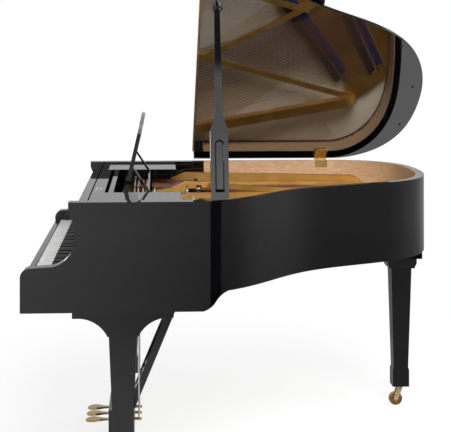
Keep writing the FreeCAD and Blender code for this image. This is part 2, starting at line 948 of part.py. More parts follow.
def white_key(index):
    pitch = key_field / key_count_white
    high = middle_y + key_field / 2 - index * pitch - key_gap / 2
    low = high - pitch + key_gap
    relief = sharp_width / 2 + key_gap / 2
    rear = key_front_x + key_length
    heel = key_front_x + head_length
    back_high = high - relief if index > 0 and has_sharp_above(index - 1) else high
    back_low = low + relief if has_sharp_above(index) else low
    steps = [(key_front_x, low), (heel, low)]
    steps += [(heel, back_low)] if back_low > low else []
    steps += [(rear, back_low), (rear, back_high)]
    steps += [(heel, back_high), (heel, high)] if back_high < high else [(heel, high)]
    steps += [(key_front_x, high)]
    return plan_prism(steps, key_top - key_thick, key_top)


def black_key(index):
    pitch = key_field / key_count_white
    y = middle_y + key_field / 2 - (index + 1) * pitch
    front = key_front_x + head_length + key_gap
    rear = key_front_x + key_length
    end = front + sharp_length
    slope = sharp_rise / 2
    top = key_top + sharp_rise
    steps = [(front, key_top - key_thick), (front, top - slope), (front + slope, top), (end, top),
             (end, key_top), (rear, key_top), (rear, key_top - key_thick)]
    return side_prism(steps, y - sharp_width / 2, y + sharp_width / 2)


def key_groups():
    # Every second key of each colour, so that neighbours move apart from each other.
    whites = list(range(key_count_white))
    blacks = [index for index in whites if has_sharp_above(index)]
    return {"white_keys_odd": [white_key(index) for index in whites[0::2]],
            "white_keys_even": [white_key(index) for index in whites[1::2]],
            "black_keys_odd": [black_key(index) for index in blacks[0::2]],
            "black_keys_even": [black_key(index) for index in blacks[1::2]]}


def note_groups():
    # The note that each group of keys plays, in the same order as the keys.
    notes = {"white": [], "black": []}
    note = 0
    for index in range(key_count_white):
        notes["white"].append(note)
        note += 1
        if has_sharp_above(index):
            notes["black"].append(note)
            note += 1
    return {"white_hammers_odd": notes["white"][0::2], "white_hammers_even": notes["white"][1::2],
            "black_hammers_odd": notes["black"][0::2], "black_hammers_even": notes["black"][1::2]}


def hammer(note):
    # Drawn at the string and turned down to its rest.
    y = string_y(note, hammer_pivot_x + shank_length + hammer_head / 2)
    low = hammer_pivot_z - shank_thick / 2
    high = hammer_pivot_z + shank_thick / 2
    x0 = hammer_pivot_x - butt_length
    x1 = hammer_pivot_x + shank_length
    x2 = x1 + hammer_head
    tip = hammer_pivot_z + hammer_height
    inset = (hammer_head - hammer_tip) / 2
    steps = [(x0, low), (x2, low), (x2 - inset, tip), (x1 + inset, tip), (x1, high), (x0, high)]
    bar = side_prism(steps, y - hammer_width / 2, y + hammer_width / 2)
    return turned(bar, V(hammer_pivot_x, 0, hammer_pivot_z), V(0, 1, 0), hammer_drop)


def tapered_square(side_top, z_top, side_foot, z_foot):
    wires = []
    for side, z in ((side_top, z_top), (side_foot, z_foot)):
        half = side / 2
        corners = [V(-half, -half, z), V(half, -half, z), V(half, half, z), V(-half, half, z)]
        wires.append(Part.makePolygon(corners + corners[:1]))
    return Part.makeLoft(wires, True, True)


def leg_foot_piece():
    half = cuff_side / 2
    cuff = box(-half, half, -half, half, cuff_bottom, leg_foot_z - cuff_bevel)
    bevel = tapered_square(leg_foot, leg_foot_z, cuff_side, leg_foot_z - cuff_bevel)
    return [cuff, bevel]


def caster_socket():
    return Part.makeCylinder(swivel_radius + run_gap, swivel_length + fork_top_gap, V(0, 0, cuff_bottom))


def front_leg():
    half = leg_plate_length / 2
    top = arm_bottom
    shelf = top - leg_plate_thick
    foot = shelf - leg_cove_drop
    side = front_leg_top / 2
    inner = side + leg_shoulder
    start = half - leg_cove_flat
    mid_x = inner + (start - inner) * cove_mid_share_x
    mid_z = foot + leg_cove_drop * cove_mid_share_z
    steps = [(-half, top), (-half, shelf), (-start, shelf), ((-mid_x, mid_z), (-inner, foot)), (inner, foot),
             ((mid_x, mid_z), (start, shelf)), (half, shelf), (half, top)]
    bracket = side_prism(steps, -side, side)
    shaft = tapered_square(front_leg_top, foot, leg_foot, leg_foot_z)
    return joined([bracket, shaft] + leg_foot_piece()).cut(caster_socket())


def front_legs():
    legs = []
    for y in (front_leg_inset, width - front_leg_inset):
        leg = front_leg()
        leg.translate(V(front_leg_x, y, 0))
        legs.append(leg)
    return Part.makeCompound(legs)


def rear_leg():
    half = rear_cap_side / 2
    neck = box(-half, half, -half, half, rear_cap_top, block_bottom)
    cap = tapered_square(rear_cap_side, rear_cap_top, rear_cap_side - rear_cap_bevel, rear_cap_bottom)
    shaft = tapered_square(rear_leg_top, rear_cap_bottom, leg_foot, leg_foot_z)
    leg = joined([neck, cap, shaft] + leg_foot_piece()).cut(caster_socket())
    leg.translate(V(rear_leg_x, rear_leg_y, 0))
    reach = rear_block_side / 2
    block = box(rear_leg_x - reach, rim_length, block_start_share * width, rear_leg_y + reach,
                block_bottom, rim_bottom)
    inside = plan_solid(block_inset, belly_x, block_bottom, rim_bottom)
    return joined([leg, block.common(inside)])


def caster_fork(x, y):
    top = cuff_bottom - fork_top_gap
    half = fork_width / 2
    cheek_low = wheel_width / 2 + fork_gap
    cheek_high = cheek_low + fork_thick
    eye = axle_radius + fork_thick
    stem = Part.makeCylinder(swivel_radius, swivel_length + fork_top_gap, V(0, 0, top))
    plate = box(-half, half, -cheek_high, cheek_high, top - fork_plate, top)
    steps = [(half, top), (-half, top), (-caster_trail - eye, wheel_radius),
             ((-caster_trail, wheel_radius - eye), (-caster_trail + eye, wheel_radius)),
             (half, top - fork_plate)]
    cheeks = [side_prism(steps, cheek_low, cheek_high), side_prism(steps, -cheek_high, -cheek_low)]
    axle = rod(axle_radius, V(-caster_trail, -cheek_high, wheel_radius),
               V(-caster_trail, cheek_high, wheel_radius))
    fork = joined([stem, plate] + cheeks + [axle])
    fork.translate(V(x, y, 0))
    return fork


def caster_wheel(x, y):
    half = wheel_width / 2
    bore = axle_radius + run_gap
    hub = axle_radius + fork_thick
    web = wheel_radius - wheel_tread
    steps = [(bore, -half), (hub, -half), (hub, -half + wheel_rim), (web, -half + wheel_rim), (web, -half),
             (wheel_radius - wheel_rim, -half), (wheel_radius, -half + wheel_rim),
             (wheel_radius, half - wheel_rim), (wheel_radius - wheel_rim, half),
             (web, half), (web, half - wheel_rim), (hub, half - wheel_rim), (hub, half), (bore, half)]
    wheel = outline(steps, lambda r, a: V(r, a, 0)).revolve(V(0, 0, 0), V(0, 1, 0), full_turn)
    wheel.translate(V(x - caster_trail, y, wheel_radius))
    return wheel


def lyre():
    front = lyre_box_front_x
    rear = front + lyre_box_length
    top = lyre_box_bottom + lyre_box_height
    half = lyre_box_width / 2
    base = box(front, rear, lyre_y - half, lyre_y + half, lyre_box_bottom, top)
    head = box(front, rear, lyre_y - lyre_head_width / 2, lyre_y + lyre_head_width / 2,
               arm_bottom - lyre_head_height, arm_bottom)
    centres = (lyre_y - lyre_post_spread / 2, lyre_y + lyre_post_spread / 2)
    posts = [box(front + lyre_post_inset, rear - lyre_post_inset, y - lyre_post_width / 2,
                 y + lyre_post_width / 2, top, arm_bottom - lyre_head_height) for y in centres]
    whole = joined([base, head] + posts)
    for place in (-1, 0, 1):
        y = lyre_y + place * pedal_pitch
        slot = pedal_neck / 2 + pedal_side_room
        room = pedal_thick / 2 + pedal_slot_room
        seat = slot + pedal_pin_seat
        whole = whole.cut(box(front - overrun, rear + overrun, y - slot, y + slot,
                              pedal_z - room, pedal_z + room))
        whole = whole.cut(rod(pedal_pin_radius + run_gap, V(pedal_pivot_x, y - seat, pedal_z),
                              V(pedal_pivot_x, y + seat, pedal_z)))
    return whole


def pedal(place):
    y = lyre_y + place * pedal_pitch
    neck = pedal_neck / 2
    toe = pedal_toe / 2
    toe_x = pedal_tip_x + pedal_toe_length
    shoulder_x = toe_x + pedal_taper
    low = pedal_z - pedal_thick / 2
    steps = [(pedal_rear_x, y - neck), (shoulder_x, y - neck), (toe_x, y - toe), (pedal_tip_x + toe, y - toe),
             ((pedal_tip_x, y), (pedal_tip_x + toe, y + toe)), (toe_x, y + toe), (shoulder_x, y + neck),
             (pedal_rear_x, y + neck)]
    plate = plan_prism(steps, low, low + pedal_thick)
    reach = neck + pedal_side_room + pedal_pin_seat - slack
    pin = rod(pedal_pin_radius, V(pedal_pivot_x, y - reach, pedal_z), V(pedal_pivot_x, y + reach, pedal_z))
    return joined([plate, pin])


def pedal_rod(place):
    y = lyre_y + place * pedal_pitch
    foot = pedal_z + pedal_thick / 2 + rod_gap
    return rod(rod_radius, V(rod_x, y, foot), V(rod_x, y, arm_bottom - rod_travel))


def lyre_braces():
    rear = lyre_box_front_x + lyre_box_length
    half = brace_side / 2
    slope = (arm_bottom - brace_foot_z) / (brace_top_x - rear)
    drop = (brace_top_x - half - rear) * slope
    low = (brace_top_x + half - rear) * slope
    steps = [(rear, arm_bottom - low), (rear, arm_bottom - drop), (brace_top_x - half, arm_bottom),
             (brace_top_x + half, arm_bottom)]
    centres = (lyre_y - brace_spread, lyre_y + brace_spread)
    return Part.makeCompound([side_prism(steps, y - half, y + half) for y in centres])


def opened(shape):
    # Lid pieces are drawn closed, and raised about the hinge pins.
    return turned(shape, V(0, hinge_y, hinge_z), V(1, 0, 0), -lid_open)


def folded(shape):
    # The front flap is drawn unfolded, and laid back on top of the lid.
    return turned(shape, V(fold_x, 0, lid_top + strip_step), V(0, 1, 0), half_turn)


def lid():
    slab = plan_solid(-lid_overhang, fold_x + fold_room, lid_bottom, lid_top, lid_shares)
    half = hinge_width / 2
    for x in hinge_x:
        slab = slab.cut(box(x - half, x + half, width - hinge_reach, width + overrun,
                            lid_bottom, lid_bottom + hinge_leaf))
    return opened(slab)


def lid_flap():
    slab = box(fold_x - flap_length, fold_x - fold_room, -lid_side, width, lid_bottom, lid_top)
    return opened(folded(slab))


def knuckle_spans(count, start, end):
    step = (end - start) / count
    half = slack / 2
    return [(start + index * step + half, start + (index + 1) * step - half) for index in range(count)]


def strip_leaf_piece(side, spans, bored):
    # One leaf of the long hinge between lid and flap, with its knuckles.
    axis_z = lid_top + strip_step
    near = strip_radius - strip_step
    x0, x1 = sorted((fold_x + side * near, fold_x + side * (near + strip_leaf)))
    low = axis_z - strip_depth
    start, end = strip_ends()
    pieces = [box(x0, x1, start, end, low, axis_z - strip_radius - slack)]
    for a, b in spans:
        pieces.append(box(x0, x1, a, b, axis_z - strip_radius - slack, axis_z))
        pieces.append(rod(strip_radius, V(fold_x, a, axis_z), V(fold_x, b, axis_z)))
    if not bored:
        pieces.append(rod(strip_pin, V(fold_x, start, axis_z), V(fold_x, end, axis_z)))
    leaf = joined(pieces)
    if bored:
        leaf = leaf.cut(rod(strip_pin + run_gap, V(fold_x, start, axis_z), V(fold_x, end, axis_z)))
    return leaf


def strip_ends():
    return strip_end_inset, width - strip_end_inset


def flap_hinge():
    spans = knuckle_spans(strip_knuckles, *strip_ends())
    lid_leaf = strip_leaf_piece(1, spans[0::2], False)
    flap_leaf = strip_leaf_piece(-1, spans[1::2], True)
    return opened(lid_leaf), opened(folded(flap_leaf))


def hinge_spans(x):
    return knuckle_spans(hinge_knuckles, x - hinge_width / 2, x + hinge_width / 2)


def lid_hinge_rim_leaf(x):
    half = hinge_width / 2
    inside = width - rim_thick - veneer_thick
    plate = box(x - half, x + half, inside - hinge_leaf, width - hinge_room, rim_top - hinge_leaf, rim_top)
    down = box(x - half, x + half, inside - hinge_leaf, inside, rim_top - hinge_turn_down, rim_top)
    pieces = [plate, down]
    for a, b in hinge_spans(x)[0::2]:
        pieces.append(box(a, b, width - hinge_room, hinge_y, rim_top - hinge_leaf, rim_top))
        pieces.append(rod(hinge_radius, V(a, hinge_y, hinge_z), V(b, hinge_y, hinge_z)))
    pieces.append(rod(hinge_pin, V(x - half, hinge_y, hinge_z), V(x + half, hinge_y, hinge_z)))
    return joined(pieces)


def lid_hinge_lid_leaf(x):
    half = hinge_width / 2
    far = width - hinge_reach
    near = width - hinge_room
    steps = [(x - half, near), (x + half, near), (x + half, far), (x - half + hinge_slant, far),
             (x - half, far + hinge_slant)]
    pieces = [plan_prism(steps, lid_bottom, lid_bottom + hinge_leaf)]
    for a, b in hinge_spans(x)[1::2]:
        pieces.append(box(a, b, width - hinge_room, hinge_y, lid_bottom, lid_bottom + hinge_leaf))
        pieces.append(rod(hinge_radius, V(a, hinge_y, hinge_z), V(b, hinge_y, hinge_z)))
    leaf = joined(pieces)
    bore = rod(hinge_pin + run_gap, V(x - half, hinge_y, hinge_z), V(x + half, hinge_y, hinge_z))
    return opened(leaf.cut(bore))


def lid_bumpers():
    curve = rim_spline(bumper_inset)[0]
    pads = []
    for share in bumper_shares:
        place = place_along(curve, share)
        pads.append(opened(rod(bumper_radius, place + V(0, 0, rim_top + slack), place + V(0, 0, lid_bottom))))
    return Part.makeCompound(pads)


def prop_length():
    tilt = math.radians(lid_open)
    lean = math.radians(prop_lean)
    reach = (hinge_y - prop_y) * math.sin(tilt) + (hinge_z - prop_z) * math.cos(tilt)
    closing = math.sin(lean) * math.sin(tilt) + math.cos(lean) * math.cos(tilt)
    return (reach + lid_gap / 2 - prop_tip_gap) / closing


def leaning(shape):
    # The prop is drawn upright from its pivot, and leaned towards the bass side.
    foot = V(prop_x, prop_y, prop_z)
    return turned(shape.translated(foot), foot, V(1, 0, 0), -prop_lean)


def prop_stick():
    half = prop_thick / 2
    base = prop_base_width / 2
    neck = prop_neck_width / 2
    tip = prop_tip_width / 2
    neck_z = prop_base_length + prop_neck_length
    length = prop_length() - prop_tip_slope
    steps = [(-base, 0), (base, 0), (base, prop_base_length), (neck, neck_z), (tip, prop_mid_length),
             (-tip, prop_mid_length), (-neck, neck_z), (-base, prop_base_length)]
    heel = rod(half, V(-base, 0, 0), V(base, 0, 0))
    body = joined([side_prism(steps, -half, half), heel])
    slot_half = slot_width / 2
    slot_steps = [(-slot_half, slot_start), (slot_half, slot_start), (slot_half, slot_end - slot_half),
                  ((0, slot_end), (-slot_half, slot_end - slot_half))]
    body = body.cut(side_prism(slot_steps, -half - overrun, half + overrun))
    ring = rod(prop_ring_radius, V(0, 0, prop_mid_length), V(0, 0, prop_mid_length + prop_ring_length))
    tip_rod = rod(prop_rod_radius, V(0, 0, prop_mid_length), V(0, 0, length))
    body = joined([body, ring, tip_rod])
    body = body.cut(rod(prop_pin + run_gap, V(-base - overrun, 0, 0), V(base + overrun, 0, 0)))
    return leaning(body.cut(half_prop_pin_hole()))


def half_prop_pin_hole():
    reach = slot_width / 2 + half_pin_seat
    z = slot_start + half_thick / 2 + half_gap
    return rod(half_pin + run_gap, V(-reach, 0, z), V(reach, 0, z))


def half_prop():
    half = half_thick / 2
    side = slot_width / 2 - half_gap
    z = slot_start + half + half_gap
    top = slot_end - half_gap
    steps = [(-side, z), (side, z), (side, top - side), ((0, top), (-side, top - side))]
    bar = side_prism(steps, -half, half)
    heel = rod(half, V(-side, 0, z), V(side, 0, z))
    reach = slot_width / 2 + half_pin_seat - slack
    pin = rod(half_pin, V(-reach, 0, z), V(reach, 0, z))
    return leaning(joined([bar, heel, pin]))


def prop_bracket():
    base = prop_base_width / 2 + slack
    outer = base + bracket_wall
    front = prop_y - prop_thick / 2 - slack
    low = prop_z - bracket_low
    high = prop_z + prop_thick / 2
    back = box(prop_x - outer, prop_x + outer, 0, front, low, high)
    inside = plan_solid(rim_thick + veneer_thick, belly_x, low, high)
    cheeks = [box(a, b, front - overrun, prop_y + prop_thick / 2, low, high)
              for a, b in ((prop_x - outer, prop_x - base), (prop_x + base, prop_x + outer))]
    pin = rod(prop_pin, V(prop_x - outer, prop_y, prop_z), V(prop_x + outer, prop_y, prop_z))
    return joined([joined([back] + cheeks).common(inside), pin])


def front_rails():
    # The lock rail behind the fallboard, and the two runners that carry the music desk.
    low = arm_thick
    high = width - arm_thick
    lock = box(lock_rail_x, lock_rail_x + lock_rail_width, low, high, fall_top - lock_rail_height, fall_top)
    top = wing_top - wing_thick - slack
    runners = [box(wing_front_x, arm_join_x, a, b, top - runner_height, top)
               for a, b in ((low, low + runner_width), (high - runner_width, high))]
    return Part.makeCompound([lock] + runners)


def bail_points():
    lean = math.radians(desk_lean)
    out = desk_thick / 2 + bail_offset
    x = desk_pivot_x + bail_hinge * math.sin(lean) + out * math.cos(lean)
    z = desk_pivot_z + bail_hinge * math.cos(lean) - out * math.sin(lean)
    return x, z


def desk_rest_top():
    angle = math.radians(bail_angle)
    return bail_points()[1] - bail_length * math.cos(angle) - bail_thick / 2 * math.sin(angle) - slack


def desk_cheek_piece(y0, y1, low):
    # An ear of the tray that the desk's pivot pin turns in.
    left = desk_pivot_x - desk_cheek
    right = desk_pivot_x + desk_cheek
    steps = [(left, low), (left, desk_pivot_z),
             ((desk_pivot_x, desk_pivot_z + desk_cheek), (right, desk_pivot_z)), (right, low)]
    bore = rod(desk_pin + run_gap, V(desk_pivot_x, y0, desk_pivot_z), V(desk_pivot_x, y1, desk_pivot_z))
    return side_prism(steps, y0, y1).cut(bore)


def desk_tray():
    pieces = []
    low = wing_top - wing_thick
    rail_low = wing_top - tray_rail_height - wing_thick
    foot_x = bail_points()[0] + bail_length * math.sin(math.radians(bail_angle))
    edge = arm_thick + wing_inset
    for a, b, c in ((edge, wing_inner, 1), (width - wing_inner, width - edge, -1)):
        pieces.append(box(wing_front_x, wing_rear_x, a, b, low, wing_top))
        inner = b if c > 0 else a
        y0, y1 = sorted((inner, inner + c * -tray_rail_width))
        pieces.append(box(tray_board_front_x, wing_rear_x, y0, y1, rail_low, low))
        y0, y1 = sorted((inner - c * tray_rail_width, inner + c * rest_width))
        pieces.append(box(foot_x - rest_length, foot_x, y0, y1, rail_low, desk_rest_top()))
        y0, y1 = sorted((inner, middle_y - c * (desk_half + desk_end_gap)))
        pieces.append(desk_cheek_piece(y0, y1, rail_low))
    side = wing_inner - tray_rail_width
    board_low = low - tray_board_drop - tray_board_thick
    pieces.append(box(tray_board_front_x, tray_board_front_x + tray_board_length, side, width - side,
                      board_low, board_low + tray_board_thick))
    return joined(pieces)


def desk_leaning(shape):
    return turned(shape, V(desk_pivot_x, 0, desk_pivot_z), V(0, 1, 0), desk_lean)


def music_desk():
    low = middle_y - desk_half
    high = middle_y + desk_half
    shoulder = desk_pivot_z + desk_shoulder
    foot = desk_pivot_z - desk_foot
    crown = desk_pivot_z + desk_height
    steps = [(low, foot), (low, shoulder), ((middle_y, crown), (high, shoulder)), (high, foot)]
    x0 = desk_pivot_x - desk_thick / 2
    panel = outline(steps, lambda y, z: V(x0, y, z)).extrude(V(desk_thick, 0, 0))
    pin_end = wing_inner + slack
    pins = [rod(desk_pin, V(desk_pivot_x, start, desk_pivot_z), V(desk_pivot_x, end, desk_pivot_z))
            for start, end in ((pin_end, low + desk_pin), (high - desk_pin, width - pin_end))]
    lug_x = desk_pivot_x + desk_thick / 2 + bail_offset
    lug_z = desk_pivot_z + bail_hinge
    lugs = []
    half = bail_thick / 2
    for side in (-1, 1):
        near = middle_y + side * (desk_half - bail_inset - bail_strut - desk_end_gap)
        far = near - side * bail_lug
        y0, y1 = sorted((near, far))
        lugs.append(box(x0 + desk_thick, lug_x + half, y0, y1, lug_z - half, lug_z + half))
        lugs.append(rod(bail_pin, V(lug_x, far, lug_z), V(lug_x, near + side * bail_pin_seat, lug_z)))
    return desk_leaning(joined([panel] + pins + lugs))


def desk_support():
    # Drawn hanging straight down from its hinge on the back of the desk, then swung out to its rest.
    x, z = bail_points()
    low = middle_y - desk_half + bail_inset
    high = middle_y + desk_half - bail_inset
    half = bail_thick / 2
    foot = z - bail_length
    pieces = [box(x - half, x + half, low, high, foot, foot + bail_bar)]
    for a, b in ((low, low + bail_strut), (high - bail_strut, high)):
        pieces += [box(x - half, x + half, a, b, foot, z), rod(half, V(x, a, z), V(x, b, z))]
    frame = joined(pieces)
    reach = bail_pin_seat + slack
    for a in (low + bail_strut, high - bail_strut):
        frame = frame.cut(rod(bail_pin + run_gap, V(x, a - reach, z), V(x, a + reach, z)))
    return turned(frame, V(x, 0, z), V(0, 1, 0), -bail_angle)


def fallboard():
    front = fall_rear_x - fall_thick
    rear = fall_rear_x
    lip_x = rear - fall_lip
    lip_z = fall_top - fall_lip_height
    steps = [(front, fall_bottom), (rear, fall_bottom), (rear, fall_top), (lip_x + fall_round, fall_top),
             (lip_x, fall_top - fall_round), (lip_x, lip_z), (front, lip_z)]
    board = side_prism(steps, arm_thick + fall_end_gap, width - arm_thick - fall_end_gap)
    reach = arm_thick - fall_pin_length + slack
    pin = rod(fall_pin, V(fall_pivot_x, reach, fall_pivot_z), V(fall_pivot_x, width - reach, fall_pivot_z))
    return joined([board, pin])


def build():
    write("case_rim", case_rim())
    write("inner_veneer", inner_veneer())
    write("inner_rim", inner_rim())
    write("back_frame", back_frame())
    write("soundboard", soundboard())
    write("soundboard_ribs", soundboard_ribs())
    write("long_bridge", long_bridge())
    write("bass_bridge", bass_bridge())
    write("iron_plate", iron_plate())
    write("pin_block", pin_block())
    write("tuning_pins", tuning_pins())
    write("plate_fixings", plate_fixings())
    write("bass_strings", strung(0, bass_notes, bass_side))
    write("plain_strings", strung(bass_notes, note_count, plain_side))
    write("string_felts", string_felts())
    write("dampers", dampers())
    write("keybed", keybed())
    write("key_slip", key_slip())
    write("key_blocks", key_blocks())
    write("key_frame", key_frame())
    write("action_rail", action_rail())
    for name, keys in key_groups().items():
        write(name, Part.makeCompound(keys))
    for name, notes in note_groups().items():
        write(name, Part.makeCompound([hammer(note) for note in notes]))
    write("front_legs", front_legs())
    write("rear_leg", rear_leg())
    casters = {"treble": (front_leg_x, front_leg_inset), "bass": (front_leg_x, width - front_leg_inset),
               "tail": (rear_leg_x, rear_leg_y)}
    for name, (x, y) in casters.items():
        write(name + "_caster_fork", caster_fork(x, y))
        write(name + "_caster_wheel", caster_wheel(x, y))
    write("lyre", lyre())
    write("lyre_braces", lyre_braces())
    for name, place in (("sustain", -1), ("sostenuto", 0), ("soft", 1)):
        write(name + "_pedal", pedal(place))
        write(name + "_rod", pedal_rod(place))
    write("lid", lid())
    write("lid_flap", lid_flap())
    lid_leaf, flap_leaf = flap_hinge()
    write("flap_hinge_lid_leaf", lid_leaf)
    write("flap_hinge_flap_leaf", flap_leaf)
    write("lid_hinge_rim_leaves", Part.makeCompound([lid_hinge_rim_leaf(x) for x in hinge_x]))
    write("lid_hinge_lid_leaves", Part.makeCompound([lid_hinge_lid_leaf(x) for x in hinge_x]))
    write("lid_bumpers", lid_bumpers())
    write("prop_stick", prop_stick())
    write("half_prop", half_prop())
    write("prop_bracket", prop_bracket())
    write("front_rails", front_rails())
    write("desk_tray", desk_tray())
    write("music_desk", music_desk())
    write("desk_support", desk_support())
    write("fallboard", fallboard())


build()
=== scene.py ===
import bpy
import json
import math
from mathutils import Matrix, Vector

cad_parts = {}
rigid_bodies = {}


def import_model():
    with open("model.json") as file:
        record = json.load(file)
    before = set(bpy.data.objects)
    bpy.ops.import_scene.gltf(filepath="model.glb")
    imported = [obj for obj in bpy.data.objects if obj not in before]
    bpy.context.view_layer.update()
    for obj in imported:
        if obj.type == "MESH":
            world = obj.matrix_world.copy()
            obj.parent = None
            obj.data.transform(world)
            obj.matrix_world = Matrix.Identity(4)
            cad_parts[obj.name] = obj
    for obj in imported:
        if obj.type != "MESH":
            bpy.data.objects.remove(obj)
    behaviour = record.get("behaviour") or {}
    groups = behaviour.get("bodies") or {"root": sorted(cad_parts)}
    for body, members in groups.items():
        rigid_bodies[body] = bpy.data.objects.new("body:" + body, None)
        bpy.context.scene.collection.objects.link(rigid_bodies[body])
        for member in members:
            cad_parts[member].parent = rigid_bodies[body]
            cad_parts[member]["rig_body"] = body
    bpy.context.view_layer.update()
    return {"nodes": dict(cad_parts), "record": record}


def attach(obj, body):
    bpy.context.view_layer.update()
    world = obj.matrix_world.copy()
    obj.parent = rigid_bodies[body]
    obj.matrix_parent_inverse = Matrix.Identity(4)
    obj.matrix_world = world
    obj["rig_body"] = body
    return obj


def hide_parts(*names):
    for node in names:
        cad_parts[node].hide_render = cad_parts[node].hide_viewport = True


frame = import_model()
nodes = frame["nodes"]
scene = bpy.context.scene
nodeSlots = {part["node"]: part["material_slot"] for part in frame["record"]["subparts"]}
bpy.ops.object.select_all(action="DESELECT")
print("frame loaded:", len(nodes), "nodes")

origin = {"x": 769.0507, "y": 749.6165}  # from the arm's front and the treble face to the frame's origin


def at(x, y, z):  # millimetres from the arm's front, the treble face and the floor
    return Vector(((x - origin["x"]) / 1000, (y - origin["y"]) / 1000, z / 1000))


def linear(hexText):  # sRGB hex to linear colour
    parts = [int(hexText[i:i + 2], 16) / 255 for i in (1, 3, 5)]
    return [p / 12.92 if p <= 0.04045 else ((p + 0.055) / 1.055) ** 2.4 for p in parts] + [1.0]


def socketKey(key):  # a socket by number, as in0, or by name with underscores for spaces
    return int(key[2:]) if key.startswith("in") else key.replace("_", " ")


def addNode(tree, kind, settings=None, **links):  # one node with its settings, and links into its sockets
    node = tree.nodes.new(kind)
    for key, value in (settings or {}).items():
        if hasattr(node, key):
            setattr(node, key, value)
        else:
            node.inputs[socketKey(key)].default_value = value
    for key, source in links.items():
        tree.links.new(source, node.inputs[socketKey(key)])
    return node


def feed(tree, socket, value):  # a number set on the socket, or another socket linked into it
    if isinstance(value, (int, float)):
        socket.default_value = value
    else:
        tree.links.new(value, socket)


def calc(tree, operation, *values):  # one maths node, fed by numbers and sockets
    node = addNode(tree, "ShaderNodeMath", {"operation": operation})
    for socket, value in zip(node.inputs, values):
        feed(tree, socket, value)
    return node.outputs[0]


def perMetre(millimetres):  # texture scale for a feature of that size
    return 1000.0 / millimetres


def emptyTree(holder):  # node tree of a material or world, cleared
    holder.use_nodes = True
    holder.node_tree.nodes.clear()
    return holder.node_tree


def newMaterial(name, **sockets):
    material = bpy.data.materials.new(name)
    tree = emptyTree(material)
    shader = addNode(tree, "ShaderNodeBsdfPrincipled")
    for key, value in sockets.items():
        shader.inputs[socketKey(key)].default_value = value
    addNode(tree, "ShaderNodeOutputMaterial", Surface=shader.outputs[0])
    coords = addNode(tree, "ShaderNodeTexCoord").outputs["Object"]
    return material, tree, shader, coords


def ramp(tree, source, stops):  # stops are pairs of place and hex colour or grey level
    node = addNode(tree, "ShaderNodeValToRGB", in0=source)
    while len(node.color_ramp.elements) < len(stops):
        node.color_ramp.elements.new(0.5)
    for element, (place, colour) in zip(node.color_ramp.elements, stops):
        element.position = place
        element.color = linear(colour) if isinstance(colour, str) else [colour] * 3 + [1.0]
    return node.outputs[0]


def spread(tree, source, levels, places=(0.3, 0.7)):  # a pattern stretched between levels
    return ramp(tree, source, list(zip(places, levels)))


def paint(tree, shader, **sources):  # patterns into the shader's sockets
    for key, source in sources.items():
        tree.links.new(source, shader.inputs[socketKey(key)])


def noise(tree, coords, size, detail=3.0, stretch=None):  # features of a size in millimetres
    if stretch:
        coords = addNode(tree, "ShaderNodeMapping", {"Scale": stretch}, Vector=coords).outputs[0]
    return addNode(tree, "ShaderNodeTexNoise", {"Scale": perMetre(size), "Detail": detail},
                   Vector=coords).outputs["Fac"]


def mixColours(tree, share, first, second, blend="MIX"):
    mix = addNode(tree, "ShaderNodeMix", {"data_type": "RGBA", "blend_type": blend}, in6=first, in7=second)
    feed(tree, mix.inputs[0], share)
    return mix.outputs[2]


def roughen(tree, shader, source, height, strength):  # bump from a pattern, height in millimetres
    bump = addNode(tree, "ShaderNodeBump", {"Strength": strength, "Distance": height / 1000}, Height=source)
    paint(tree, shader, Normal=bump.outputs[0])


def polishedLacquer(name, ior):
    # Black polyester, cast thick and buffed: a clear dark mirror with a faint unevenness.
    material, tree, shader, coords = newMaterial(name, IOR=ior)
    haze = noise(tree, coords, 180, 5.0)
    tint = noise(tree, coords, 40, 2.0)
    paint(tree, shader, Roughness=spread(tree, haze, (0.02, 0.06), (0.3, 0.75)),
          Base_Color=spread(tree, tint, ("#040405", "#08080a"), (0.2, 0.9)))
    roughen(tree, shader, noise(tree, coords, 30, 1.0), 0.02, 0.25)
    return material


def satinBlack(name, colours=("#131314", "#1d1d1e"), rough=(0.34, 0.46)):
    # Black stained wood under a thin satin coat: fine pores break up a soft sheen.
    material, tree, shader, coords = newMaterial(name)
    pores = noise(tree, coords, 2.0, 4.0, (0.08, 1.0, 1.0))
    paint(tree, shader, Base_Color=spread(tree, pores, colours, (0.35, 0.7)),
          Roughness=spread(tree, pores, rough))
    roughen(tree, shader, pores, 0.05, 0.3)
    return material


trim = {"tooth": 12.0, "rise": 3.2, "foot": 865.0,
        "colours": ("#4f2a20", "#67392d")}  # rise is the slope of a tooth's flank


def veneer(name, colours):
    # Figured veneer, sliced and varnished: fine grain along the rim, and a toothed red inlay at its foot.
    material, tree, shader, coords = newMaterial(name, Roughness=0.32, Specular_IOR_Level=0.2)
    grain = noise(tree, coords, 2.2, 6.0, (0.05, 0.05, 1.0))
    figure = noise(tree, coords, 7, 4.0, (0.3, 0.3, 1.0))
    wood = spread(tree, calc(tree, "MULTIPLY_ADD", grain, 0.6, figure), colours, (0.45, 0.8, 1.1))
    place = addNode(tree, "ShaderNodeSeparateXYZ", Vector=coords).outputs
    along = calc(tree, "ADD", place["X"], place["Y"])
    teeth = calc(tree, "PINGPONG", along, trim["tooth"] / 2 / 1000)
    above = calc(tree, "MULTIPLY_ADD", teeth, -trim["rise"], place["Z"])
    inTrim = calc(tree, "LESS_THAN", above, trim["foot"] / 1000)
    inlay = spread(tree, grain, trim["colours"])
    paint(tree, shader, Base_Color=mixColours(tree, inTrim, wood, inlay))
    roughen(tree, shader, grain, 0.06, 0.3)
    return material


